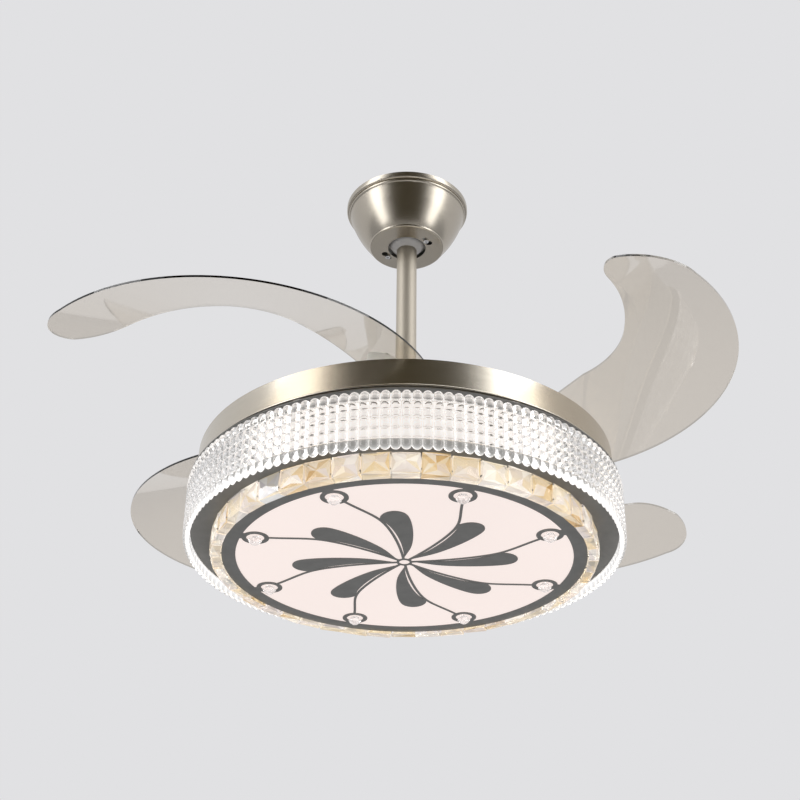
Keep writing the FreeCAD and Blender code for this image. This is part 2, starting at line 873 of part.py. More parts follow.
def ornament_stem(turn):
    """A curved stem of even width from the middle ring to an eyelet."""
    middle = [ornament_point(pair, turn) for pair in stem_shares]
    sides = ([], [])
    for k, here in enumerate(middle):
        way = middle[min(k + 1, len(middle) - 1)] - middle[max(k - 1, 0)]
        across = way.cross(UP).normalize() * (stem_width / 2)
        sides[0].append(here + across)
        sides[1].append(here - across)
    left, right = sides
    ends = [Part.makeLine(left[-1], right[-1]), Part.makeLine(right[0], left[0])]
    return raised([curve(left), ends[0], curve(right), ends[1]])


def ornament_leaf(turn):
    """A drop-shaped leaf that runs beside its stem and meets it at the head."""
    outer = [ornament_point(pair, turn) for pair in leaf_outer_shares]
    inner = [ornament_point(pair, turn) for pair in leaf_inner_shares]
    return raised([curve(outer), curve(inner)])


def panel_ornament():
    """The dark cut sheet: outer ring, eyelets on short necks, stems, leaves and a small middle ring."""
    low = panel_under - ornament_sheet
    shapes = [tube(ornament_ring_outer, ornament_ring_inner, low, panel_under)]
    shapes.append(tube(hub_ring_radius, hub_ring_hole, low, panel_under))
    holes = []
    for k in range(ornament_repeat):
        turn = ornament_turn + k * 360 / ornament_repeat
        centre = point(eyelet_ring, turn)
        shapes.append(cylinder(eyelet_radius, low, panel_under, centre))
        shapes.append(cylinder(eyelet_neck_radius, low, panel_under, point(ornament_ring_inner, turn)))
        holes.append(cylinder(eyelet_hole_radius, low - overrun, panel_under + overrun, centre))
        shapes.append(ornament_stem(turn + stem_turn))
        shapes.append(ornament_leaf(turn + stem_turn))
    holes.append(cylinder(hub_ring_hole, low - overrun, panel_under + overrun))
    return joined(shapes).cut(Part.makeCompound(holes))


def panel_crystals():
    """Clear faceted stones glued to the panel inside the eyelets."""
    def ring(radius, height):
        corners = [point(radius, side * 360 / stone_sides, height) for side in range(stone_sides)]
        return Part.makePolygon(corners + corners[:1])
    girdle = panel_under - stone_crown
    crown = Part.makeLoft([ring(stone_seat_radius, panel_under), ring(stone_radius, girdle)], True, True)
    tip = ring(stone_tip_radius, girdle - stone_pavilion)
    stone = joined([crown, Part.makeLoft([ring(stone_radius, girdle), tip], True, True)])
    stone.translate(Vector(eyelet_ring, 0, 0))
    return around(stone, ornament_repeat, ornament_turn)


def led_board():
    """The round board on the lower ring."""
    return cylinder(led_board_radius, lower_ring_top, lower_ring_top + led_board_thickness)


def panel_leds():
    """Rings of LEDs under the board."""
    chips = []
    for ring in range(led_rings):
        radius = (ring + 1) * led_ring_step
        chip = block(led_size, led_size, lower_ring_top - led_height, lower_ring_top, Vector(radius, 0, 0))
        chips += around(chip, (ring + 1) * leds_per_step)
    return chips


def led_driver():
    """The power supply under the pan's top."""
    high = pan_top - pan_sheet
    body = block(driver_length, driver_width, high - driver_height, high, Vector(0, driver_offset, 0))
    return body.makeFillet(driver_round, [edge for edge in body.Edges if abs(edge.tangentAt(0).z) > 0.9])


# Rotor


def split_height():
    """Where the two motor bells meet."""
    return stator_middle()


def bell_flange(low, high):
    """The outer flange of a bell, drilled for its screws."""
    flange = tube(bell_flange_radius, bell_radius - bell_wall, low, high)
    for k in range(blade_count):
        at = point(bell_screw_ring, k * quarter)
        flange = flange.cut(cylinder(screw_shank + turn_gap, low - overrun, high + overrun, at))
    return flange


def rotor_upper_bell():
    """The motor's upper half: plate, wall, flange and bearing boss."""
    split = split_height()
    plate_low = motor_top - bell_plate
    boss_low = plate_low - bearing_width
    boss = tube(bearing_radius + bearing_wall, bearing_radius + turn_gap, boss_low, plate_low)
    plate = tube(bell_radius, bearing_shoulder, plate_low, motor_top)
    wall = tube(bell_radius, bell_radius - bell_wall, split, plate_low)
    return joined([plate, wall, boss, bell_flange(split, split + bell_flange_height)])


def rotor_lower_bell():
    """The motor's lower half, bolted on the tray."""
    split = split_height()
    plate_high = tray_top + bell_plate
    boss_high = plate_high + bearing_width
    boss = tube(bearing_radius + bearing_wall, bearing_radius + turn_gap, plate_high, boss_high)
    plate = tube(bell_radius, bearing_shoulder, tray_top, plate_high)
    for k in range(tray_screw_count):
        at = point(tray_screw_ring, k * 360 / tray_screw_count)
        plate = plate.cut(cylinder(screw_shank + turn_gap, tray_top - overrun, plate_high + overrun, at))
    wall = tube(bell_radius, bell_radius - bell_wall, plate_high, split)
    return joined([plate, wall, boss, bell_flange(split - bell_flange_height, split)])


def magnet_ring():
    """The magnets inside the bells."""
    outer = bell_radius - bell_wall - fit_gap
    low = stator_middle() - magnet_height / 2
    return tube(outer, outer - magnet_thickness, low, low + magnet_height)


def motor_bearings():
    """One bearing in each bell."""
    lower = tray_top + bell_plate
    upper = motor_top - bell_plate - bearing_width
    return [tube(bearing_radius, shaft_radius + turn_gap, low, low + bearing_width) for low in (lower, upper)]


def rotor_screws():
    """Screws that join the bells, and screws up through the tray into the lower bell."""
    split = split_height()
    bell = placed(screw(2 * bell_flange_height), Vector(bell_screw_ring, 0, split + bell_flange_height), UP)
    tray = placed(screw(tray_sheet + bell_plate), Vector(tray_screw_ring, 0, tray_under), UP * -1)
    return around(bell, blade_count) + around(tray, tray_screw_count)


def motor_cover():
    """The dome over the motor, standing on the tray."""
    def path(inset):
        top = dome_top - inset
        skirt = tray_top + dome_skirt_height
        return [
            (0, tray_top - inset),
            [(dome_radius - inset, tray_top - inset)],
            [(dome_radius - inset, skirt)],
            [(dome_belly_radius - inset, dome_top - dome_belly_drop), (dome_shoulder_radius - inset, top)],
            [(0, top)],
        ]
    outer_start, *outer = path(0)
    inner_start, *inner = path(cover_sheet)
    dome = spun(outer_start, *outer).cut(spun(inner_start, *inner))
    return dome.cut(cylinder(dome_hole_radius, motor_top - overrun, dome_top + overrun))


def pivot_point(height=0):
    """The first blade's pivot."""
    return point(pivot_ring, pivot_angle, height)


def blade_tray():
    """The disc that carries the pivots: a flat sheet with a turned-down rim."""
    tray = tube(tray_radius, tray_hole_radius, tray_under, tray_top)
    rim = tube(tray_radius, tray_radius - tray_rim_wall, tray_top - tray_rim_height, tray_top)
    tray = joined([tray, rim])
    low = tray_under - overrun
    high = tray_top + overrun
    holes = around(cylinder(bush_radius() + turn_gap, low, high, pivot_point()), blade_count)
    screw_hole = cylinder(screw_shank + turn_gap, low, high, Vector(tray_screw_ring, 0, 0))
    return tray.cut(Part.makeCompound(holes + around(screw_hole, tray_screw_count)))


def bush_radius():
    """Outer radius of a pivot bush."""
    return pivot_radius + bush_wall


def pivot_bushes():
    """Bushes through the tray that the blades' pins turn in."""
    at = pivot_point()
    high = gear_low + hub_cavity_height - slide_gap
    low = tray_under - bush_flange_height
    flange = cylinder(bush_flange_radius, low, tray_under, at)
    bush = joined([cylinder(bush_radius(), tray_under, high, at), flange])
    bore = cylinder(pivot_radius + turn_gap, low - overrun, high + overrun, at)
    return around(bush.cut(bore), blade_count)


def return_springs():
    """A torsion spring round each bush: one wire along half-turn arcs of a helix."""
    start = tray_top + slide_gap + spring_wire_radius
    step = spring_pitch / 4

    def on_helix(k):
        return point(spring_radius, k * 90, start + k * step)
    arcs = []
    for k in range(spring_half_turns):
        ends = [on_helix(2 * k), on_helix(2 * k + 1), on_helix(2 * k + 2)]
        arcs.append(Part.Arc(*ends).toShape())
    way = arcs[0].tangentAt(arcs[0].FirstParameter)
    section = Part.Wire(Part.makeCircle(spring_wire_radius, on_helix(0), way))
    wire = Part.Wire(arcs).makePipeShell([section], True, False)
    print("least gap between spring turns", round(spring_pitch - 2 * spring_wire_radius, 2))
    wire.translate(pivot_point())
    return around(wire, blade_count)


def ring_guides():
    """Shoes on the tray that centre the sync ring and keep it down."""
    face = ring_inner_radius - slide_gap
    lip_low = gear_high + slide_gap
    lip_high = lip_low + guide_lip_height
    guide = spun(
        (guide_inner_radius, tray_top), [(face, tray_top)], [(face, lip_low)], [(face + guide_lip, lip_low)],
        [(face + guide_lip, lip_high)], [(guide_inner_radius, lip_high)], sweep=guide_angle)
    return around(guide, blade_count, pivot_angle + quarter / 2 - guide_angle / 2)


# Gears


def involute(angle):
    """The involute function of an angle in radians."""
    return math.tan(angle) - angle


def tooth_flank(teeth):
    """Radius and half angle, in degrees, along one tooth's side from root to tip."""
    pitch_radius = gear_module * teeth / 2
    base_radius = pitch_radius * math.cos(math.radians(pressure_angle))
    root = pitch_radius - dedendum_share * gear_module
    tip = pitch_radius + addendum_share * gear_module
    low = max(root, base_radius)
    half = math.pi / 2 / teeth - backlash / 4 / pitch_radius + involute(math.radians(pressure_angle))
    flank = []
    for share in flank_shares:
        radius = low + share * (tip - low)
        flank.append((radius, math.degrees(half - involute(math.acos(base_radius / radius)))))
    return [(root, flank[0][1])] + flank if root < base_radius else flank


def tooth_points(teeth, angle, centre, height):
    """The outline of one tooth about a gear's centre."""
    flank = tooth_flank(teeth)
    rising = [centre + point(radius, angle - half, height) for radius, half in flank]
    falling = [centre + point(radius, angle + half, height) for radius, half in reversed(flank)]
    return rising + falling


def prism(points, height):
    """An upright prism on a closed outline."""
    return Part.Face(Part.makePolygon(points + points[:1])).extrude(Vector(0, 0, height))


def sync_ring():
    """The toothed ring that ties the four blades together."""
    points = []
    for k in range(ring_teeth):
        points += tooth_points(ring_teeth, pivot_angle + k * 360 / ring_teeth, Vector(), gear_low)
    hole = cylinder(ring_inner_radius, gear_low - overrun, gear_high + overrun)
    return prism(points, gear_height).cut(hole)


def gear_sector():
    """The toothed part of a hub: enough teeth for the fold and a few to spare."""
    step = 360 / sector_teeth
    inward = pivot_angle + 180
    first = -sector_spare_teeth
    last = math.ceil(fold_angle / step) + sector_spare_teeth
    centre = pivot_point()
    points = [centre + Vector(0, 0, gear_low)]
    for k in range(first, last):
        points += tooth_points(sector_teeth, inward + (k + 1 / 2) * step, centre, gear_low)
    return prism(points, gear_height)


# Blades


def blade_centre(height=0):
    """The middle of the blade's curve, which comes over the fan's axis when the blade is folded."""
    return point(blade_centre_radius, blade_centre_angle, height)


def tilted(shape):
    """A shape drawn on the upright cone, tilted with it so that the tip rises over the next blade."""
    shape.rotate(blade_centre(-blade_drop), point(1, blade_tilt_heading - 90), blade_tilt)
    return shape


def cone_height(radius):
    """Height of the blade's upper face on the untilted cone."""
    return -blade_drop - blade_slope_share * (radius - blade_middle_radius)


def cone_ring(upper, lower):
    """A ring between two faces that lie a given depth below the blade's upper face."""
    near = blade_inner_radius - hub_radius
    far = blade_outer_radius + hub_radius
    ring = spun(
        (near, cone_height(near) - upper), [(far, cone_height(far) - upper)],
        [(far, cone_height(far) - lower)], [(near, cone_height(near) - lower)])
    ring.translate(blade_centre())
    return tilted(ring)


def sheet_depth():
    """The blade's thickness measured straight down."""
    return blade_thickness * math.hypot(1, blade_slope_share)


def blade_outline_point(pair):
    """A plan point from its share of the blade's width and its angle about the blade's centre."""
    share, angle = pair
    radius = blade_inner_radius + share * (blade_outer_radius - blade_inner_radius)
    return blade_centre(pan_top) + point(radius, angle)


def blade_screw_seats():
    """Points on the untilted cone and directions straight out of it, for the screws."""
    arm = pivot_point() - blade_centre()
    seats = []
    for angle in blade_screw_angles:
        plan = arm + point(blade_screw_ring, heading(arm) + angle)
        normal = (point(blade_slope_share, heading(plan)) + UP).normalize()
        seats.append((blade_centre(cone_height(plan.Length)) + plan, normal))
    return seats


def blade_screws():
    """Screws square to the blade, into its hub."""
    shapes = []
    for seat, normal in blade_screw_seats():
        shapes.append(tilted(placed(screw(blade_screw_length), seat + normal * seat_gap, normal)))
    return shapes


def blade_screw_holes():
    """The holes for the blade's screws."""
    holes = []
    for seat, normal in blade_screw_seats():
        end = seat - normal * (blade_screw_length + overrun)
        holes.append(tilted(bar(screw_shank + turn_gap, end, seat + normal * overrun)))
    return Part.makeCompound(holes)


def blade():
    """The clear crescent, cut from the tilted cone."""
    edges = [Part.Arc(*map(blade_outline_point, arc)).toShape() for arc in blade_outline_shares]
    prism_height = Vector(0, 0, pan_drop / 2)
    crescent = Part.Face(Part.Wire(edges)).extrude(prism_height)
    return cone_ring(0, sheet_depth()).common(crescent).cut(blade_screw_holes())


def blade_hub():
    """The geared hub: a post cut to the blade's slope, hollow below for the bush and the spring."""
    at = pivot_point()
    post = cylinder(hub_radius, gear_low, -blade_drop + hub_radius, at)
    below = sheet_depth() + seat_gap
    post = post.common(cone_ring(below, pan_drop / 2))
    hub = joined([post, gear_sector()])
    roof = gear_low + hub_cavity_height
    hub = hub.cut(cylinder(hub_cavity_radius, gear_low - overrun, roof, at))
    hub = hub.cut(cylinder(pivot_radius + turn_gap, roof - overrun, roof + pivot_depth_in_hub, at))
    return hub.cut(blade_screw_holes())


def clip_heights():
    """Lower and upper face of the clip under a pivot bush."""
    high = tray_under - bush_flange_height - slide_gap
    return high - clip_thickness, high


def pivot_pin():
    """The pin pressed into the hub, grooved below for its clip."""
    at = pivot_point()
    low, high = clip_heights()
    top = gear_low + hub_cavity_height + pivot_depth_in_hub
    pin = cylinder(pivot_radius, high - pivot_tail, top, at)
    neck = pivot_radius - clip_groove_depth
    return pin.cut(tube(pivot_radius + overrun, neck, low - turn_gap, high + turn_gap, at))


def pivot_clip():
    """The spring clip in the pin's groove, open at one side."""
    at = pivot_point()
    low, high = clip_heights()
    inner = pivot_radius - clip_groove_depth + turn_gap
    gap_at = at + point(clip_radius / 2, pivot_angle)
    opening = block(clip_radius, inner, low - overrun, high + overrun, gap_at)
    return tube(clip_radius, inner, low, high, at).cut(turned_copy(opening, pivot_angle, gap_at))


def write_mount():
    """The pieces fixed to the ceiling."""
    save("hanger_bracket", hanger_bracket())
    save("canopy", canopy())
    save("canopy_screws", *canopy_screws())
    save("receiver_box", receiver_box())


def write_suspension():
    """The pieces that hang on the ball."""
    save("hanger_ball", hanger_ball())
    save("ball_pin", ball_pin())
    save("downrod", downrod())
    save("coupling", coupling())
    save("coupling_bolt", *coupling_bolt())
    save("coupling_set_screws", *[bar(set_screw_radius, *ends) for ends in set_screw_ends()])
    save("coupling_cover", coupling_cover())
    save("motor_shaft", motor_shaft())
    save("stator_core", stator_core())
    save("stator_windings", *stator_windings())


def write_drum():
    """The light drum, which hangs on the shaft."""
    save("shaft_nut", shaft_nut())
    save("lamp_plate", lamp_plate())
    save("lamp_pan", lamp_pan())
    save("pan_screws", *pan_screws())
    save("frame_posts", *frame_posts())
    save("upper_frame_ring", upper_frame_ring())
    save("bead_band", *bead_band())
    save("band_reflector", band_reflector())
    save("lower_frame_ring", lower_frame_ring())
    save("crystal_collar", crystal_collar())
    save("amber_crystals", *around(amber_crystal(), crystal_count))
    save("crystal_pins", *crystal_pins())
    save("diffuser_panel", diffuser_panel())
    save("panel_ornament", panel_ornament())
    save("panel_crystals", *panel_crystals())
    save("panel_clips", *panel_clips())
    save("led_board", led_board())
    save("panel_leds", *panel_leds())
    save("led_driver", led_driver())


def write_rotor():
    """The pieces that spin, apart from the blades."""
    save("rotor_upper_bell", rotor_upper_bell())
    save("rotor_lower_bell", rotor_lower_bell())
    save("magnet_ring", magnet_ring())
    save("motor_bearings", *motor_bearings())
    save("rotor_screws", *rotor_screws())
    save("motor_cover", motor_cover())
    save("blade_tray", blade_tray())
    save("pivot_bushes", *pivot_bushes())
    save("return_springs", *return_springs())
    save("ring_guides", *ring_guides())
    save("sync_ring", sync_ring())


def write_blades():
    """Four blades with their hubs, pins and fasteners."""
    pieces = {
        "blade": [blade()],
        "blade_hub": [blade_hub()],
        "pivot_pin": [pivot_pin()],
        "blade_fasteners": [*blade_screws(), pivot_clip()],
    }
    for k in range(blade_count):
        for name, shapes in pieces.items():
            save(name + "_" + str(k + 1), *[turned_copy(shape, -k * quarter) for shape in shapes])


os.makedirs("parts", exist_ok=True)
print("fold angle", round(fold_angle, 3), "pivot", pivot_point(), "ball height", ball_height)
write_mount()
write_suspension()
write_drum()
write_rotor()
write_blades()
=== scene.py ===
"""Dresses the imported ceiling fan: bead band, cut stones, clear blades, finishes, light and camera."""
import math
import random

import bmesh
import bpy
from bpy.props import FloatProperty, FloatVectorProperty, IntProperty, PointerProperty
from mathutils import Matrix, Vector


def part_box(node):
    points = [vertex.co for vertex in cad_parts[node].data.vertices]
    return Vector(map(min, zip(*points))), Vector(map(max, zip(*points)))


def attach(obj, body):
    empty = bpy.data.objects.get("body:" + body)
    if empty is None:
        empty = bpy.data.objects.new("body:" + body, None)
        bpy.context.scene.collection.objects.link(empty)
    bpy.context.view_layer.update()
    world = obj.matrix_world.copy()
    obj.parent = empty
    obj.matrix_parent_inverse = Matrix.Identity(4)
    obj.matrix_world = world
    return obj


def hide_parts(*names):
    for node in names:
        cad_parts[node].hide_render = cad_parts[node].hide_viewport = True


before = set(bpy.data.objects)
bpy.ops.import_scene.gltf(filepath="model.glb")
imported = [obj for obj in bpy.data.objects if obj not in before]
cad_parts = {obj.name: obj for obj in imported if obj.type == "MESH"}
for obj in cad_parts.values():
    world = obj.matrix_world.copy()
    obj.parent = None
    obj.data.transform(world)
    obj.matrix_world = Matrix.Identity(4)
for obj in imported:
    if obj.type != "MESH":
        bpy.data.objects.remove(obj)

bl_info = {
    "name": "Folding-blade ceiling fan",
    "version": (1, 0, 0),
    "blender": (4, 5, 0),
    "location": "View3D > Sidebar > Fan",
    "description": "Dresses the ceiling fan's packed solids and sets its studio",
    "category": "Object",
}

MM = 0.001
TURN = 2 * math.pi
CENTRE = (0, 0, 0)
WHITE = (1, 1, 1)
BLADES = [1, 2, 3, 4]

# Points nearer than these are one point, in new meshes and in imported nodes
MERGE = 0.005 * MM
WELD = 0.002 * MM
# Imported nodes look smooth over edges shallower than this
NODE_CREASE = math.radians(28)

# Pairs of height, from the band's bottom to its top, and level: painted shade on the beads' crowns, painted
# glow on their outlines
PAINTED_CROWN_SHADE = [(0.0, 0.5), (0.14, 0.45), (0.19, 0.05), (0.4, 0.05), (0.55, 0.1), (0.8, 0.2), (1.0, 0.5)]
PAINTED_OUTLINE_GLOW = [(0.0, 0.6), (0.15, 0.6), (0.18, 0.15), (0.84, 0.15), (0.9, 0.25)]
# Painted glow of the lamp strip's light on the wall behind the beads
PAINTED_WALL_GLOW = [(0.0, 0.55), (0.13, 0.7), (0.24, 1.0), (0.6, 0.92), (1.0, 0.8)]

# A bead cell's corner points lie further from its middle lines than these shares of its size
CORNER_SHARE = 0.35
END_CORNER_SHARE = 0.45
# How much of a facet's tint belongs to its whole stone; the rest changes from facet to facet as painted
# reflection
STONE_TINT = 0.2
# Front and back faces of a stone look along the radius by more than this
FACING = 0.9


def colour(label, note, red, green, blue):
    """A colour setting with its default."""
    return FloatVectorProperty(
        name=label, description=note, subtype="COLOR", size=3, min=0, max=1, default=(red, green, blue))


def length(label, note, millimetres):
    """A length setting, given in millimetres and kept in metres."""
    return FloatProperty(
        name=label, description=note, subtype="DISTANCE", unit="LENGTH", default=millimetres * MM)


def spot(label, note, x, y, z):
    """A place setting, given in millimetres and kept in metres."""
    return FloatVectorProperty(
        name=label, description=note, subtype="TRANSLATION", unit="LENGTH", size=3,
        default=(x * MM, y * MM, z * MM))


def angle(label, note, degrees):
    """An angle setting, given in degrees."""
    return FloatProperty(
        name=label, description=note, subtype="ANGLE", unit="ROTATION", default=math.radians(degrees))


def power(label, note, watts):
    """A lamp's power."""
    return FloatProperty(name=label, description=note, unit="POWER", default=watts)


def optic(label, note, millimetres):
    """A camera measure in millimetres."""
    return FloatProperty(name=label, description=note, unit="CAMERA", default=millimetres)


def share(label, note, value):
    """A plain factor."""
    return FloatProperty(name=label, description=note, default=value)


def number(label, note, value):
    """A whole number."""
    return IntProperty(name=label, description=note, default=value)


class FanBeadSettings(bpy.types.PropertyGroup):
    """Sizes of the clear bead band"""
    columns: number("Columns", "Beads round the band", 144)
    rows: number("Rows", "Beads from the top of the band to its bottom", 6)
    wall_radius: length("Wall radius", "Outer radius of the wall between the beads", 259.5)
    inner_radius: length("Inner radius", "Radius of the wall's smooth inner face", 256.3)
    sides: number("Sides", "Sides of a bead's round outline, four of them at its corners", 12)
    margin: length("Margin", "Narrowest strip of wall round a bead", 0.15)
    reach: length("Reach", "How far a bead's round side reaches in from its edge", 5.2)
    rise: length("Rise", "How far a bead stands out of the wall", 5.0)
    steps: number("Steps", "Rounded steps up a bead's side", 3)


class FanStoneSettings(bpy.types.PropertyGroup):
    """Sizes of the cut stones"""
    count: number("Stones", "Amber stones round the panel", 44)
    stand_off: length("Stand-off", "Gap between the stones and the wall behind them", 1.8)
    gap: length("Gap", "Gap between two amber stones at the front of their backs", 0.6)
    base: length("Base", "Depth of a stone's plain back", 10.5)
    girdle: length("Girdle", "Width of the sloping facets round an amber stone", 1.0)
    girdle_rise: length("Girdle rise", "Height of those facets", 0.8)
    point_rise: length("Point rise", "Height of the four-sided point", 3.4)
    facet_rise: length("Facet rise", "How far each side of the point is cut into smaller facets", 0.4)
    stray: length("Stray", "How far the hand-cut corners of the facets wander", 1.3)
    eyelets: number("Clear stones", "Clear stones on the panel", 8)
    eyelet_ring: length("Eyelet ring", "Radius of the ring of clear stones", 184.0)
    eyelet_turn: angle("Eyelet turn", "Angle of the first clear stone", 19.9)
    clear_sides: number("Clear sides", "Sides of a clear stone", 12)
    clear_radius: length("Clear radius", "Radius of a clear stone at its widest", 8.4)
    clear_seat: length("Clear seat", "Radius of a clear stone's glued foot", 5.4)
    clear_table: length("Clear table", "Radius of a clear stone's flat tip", 3.5)
    clear_crown: length("Clear crown", "Height of a clear stone from its foot to its widest", 4.0)
    clear_waist: share("Clear waist", "Share of the widest radius where the facets break", 0.78)
    clear_break: share("Clear break", "Share of the lower height above that break", 0.55)


class FanFinishSettings(bpy.types.PropertyGroup):
    """Colours of the finishes"""
    nickel: colour("Nickel", "Brushed champagne nickel", 0.60, 0.555, 0.475)
    # A darker copy of the nickel for the canopy and the rod: painted shade for the darker surroundings they
    # reflect
    satin: colour("Nickel with painted shade", "Deeper nickel of the canopy and the rod", 0.47, 0.43, 0.365)
    zinc: colour("Zinc", "Plated steel", 0.58, 0.58, 0.55)
    steel: colour("Steel", "Ground steel of pins, screws and shaft", 0.68, 0.68, 0.68)
    alloy: colour("Alloy", "Cast motor bells", 0.60, 0.60, 0.60)
    tray: colour("Tray", "Satin blade tray", 0.72, 0.71, 0.67)
    bronze: colour("Bronze", "Pivot bushes", 0.58, 0.42, 0.20)
    core: colour("Core", "Core steel and magnets", 0.16, 0.16, 0.17)
    copper: colour("Copper", "Enamelled wire", 0.70, 0.34, 0.16)
    nylon: colour("Nylon", "Sync ring, guides and hubs", 0.80, 0.79, 0.74)
    ball: colour("Ball", "Grey hanger ball", 0.40, 0.39, 0.38)
    shell: colour("Shell", "Receiver box", 0.72, 0.72, 0.70)
    case: colour("Case", "Lamp driver", 0.80, 0.80, 0.78)
    board: colour("Board", "White lamp board", 0.80, 0.80, 0.79)
    gunmetal: colour("Gunmetal", "Dark rings and ornament", 0.146, 0.145, 0.136)
    smoke: colour("Smoke", "Tint of the clear blades", 0.77, 0.715, 0.64)
    smoke_edge: colour("Smoke edge", "Deeper tint along the blades' cut edges", 0.50, 0.48, 0.44)
    clear: colour("Clear", "Clear bead plastic", 0.97, 0.96, 0.95)
    # The clear stones' facets are lighter and darker as painted reflection
    glass: colour("Glass", "Most facets of the clear stones", 0.92, 0.90, 0.89)
    glass_deep: colour("Deep glass", "Darkest facets of the clear stones", 0.55, 0.53, 0.52)
    # The amber stones' own tints change from facet to facet as painted reflection, and the brightest facets
    # are a painted glint
    amber: colour("Amber", "Darkest facets of the amber stones", 0.50, 0.29, 0.09)
    honey: colour("Honey", "Facets between amber and champagne", 0.80, 0.64, 0.40)
    champagne: colour("Champagne", "Most facets of the amber stones", 0.83, 0.74, 0.58)
    lilac: colour("Lilac", "Cool facets of the amber stones", 0.74, 0.69, 0.70)
    painted_glint: colour("Sparkle", "Brightest facets", 1.0, 0.97, 0.90)
    panel: colour("Panel", "Lit frosted panel", 0.93, 0.815, 0.77)
    # Colour of the painted glow on the wall behind the beads and under the upper ring
    lamp: colour("Lamp", "Light behind the beads", 1.0, 0.96, 0.93)
    # Colour of the painted glow on the collar behind the amber stones
    collar: colour("Collar", "Collar with painted glow behind the amber stones", 1.0, 0.93, 0.80)
    chips: colour("Chips", "Lamp chips on the board", 1.0, 0.93, 0.75)


class FanStageSettings(bpy.types.PropertyGroup):
    """Camera, lights and backdrop"""
    camera_place: spot("Camera", "Where the camera stands", -7.2, -1591.1, -1266.7)
    pitch: angle("Pitch", "How far the camera looks up", 31.11)
    roll: angle("Roll", "Turn of the camera about its own line of sight", 0.58)
    lens: optic("Lens", "Focal length", 65.67)
    sensor: optic("Sensor", "Width of the picture inside the camera", 36.0)
    backdrop: colour("Backdrop", "Plain pale background", 0.753, 0.753, 0.768)
    fill: share("Fill", "Strength of the even light from all round", 0.55)
    floor_drop: length("Floor", "How far the floor lies below the ceiling", 3200.0)
    floor_size: length("Floor size", "Side of the floor", 40000.0)
    floor_tone: colour("Floor tone", "Plain pale floor", 0.90, 0.90, 0.91)
    aim: spot("Aim", "Where the lights point", 0.0, 0.0, -400.0)
    side_place: spot("Side light", "Right side light, mirrored on the left", 2400.0, -1350.0, 400.0)
    side_width: length("Side width", "Width of a side light", 1200.0)
    side_height: length("Side height", "Height of a side light", 5000.0)
    side_power: power("Side power", "Power of each side light", 54.0)
    top_place: spot("Top light", "Light overhead", 600.0, 400.0, 2600.0)
    top_size: length("Top size", "Side of the light overhead", 2600.0)
    top_power: power("Top power", "Power of the light overhead", 40.0)
    card_place: spot("Card", "Dark card behind the camera", 0.0, -3000.0, 900.0)
    card_width: length("Card width", "Width of the dark card", 4400.0)
    card_height: length("Card height", "Height of the dark card", 7000.0)
    card_tone: colour("Card tone", "Dark card", 0.06, 0.045, 0.015)


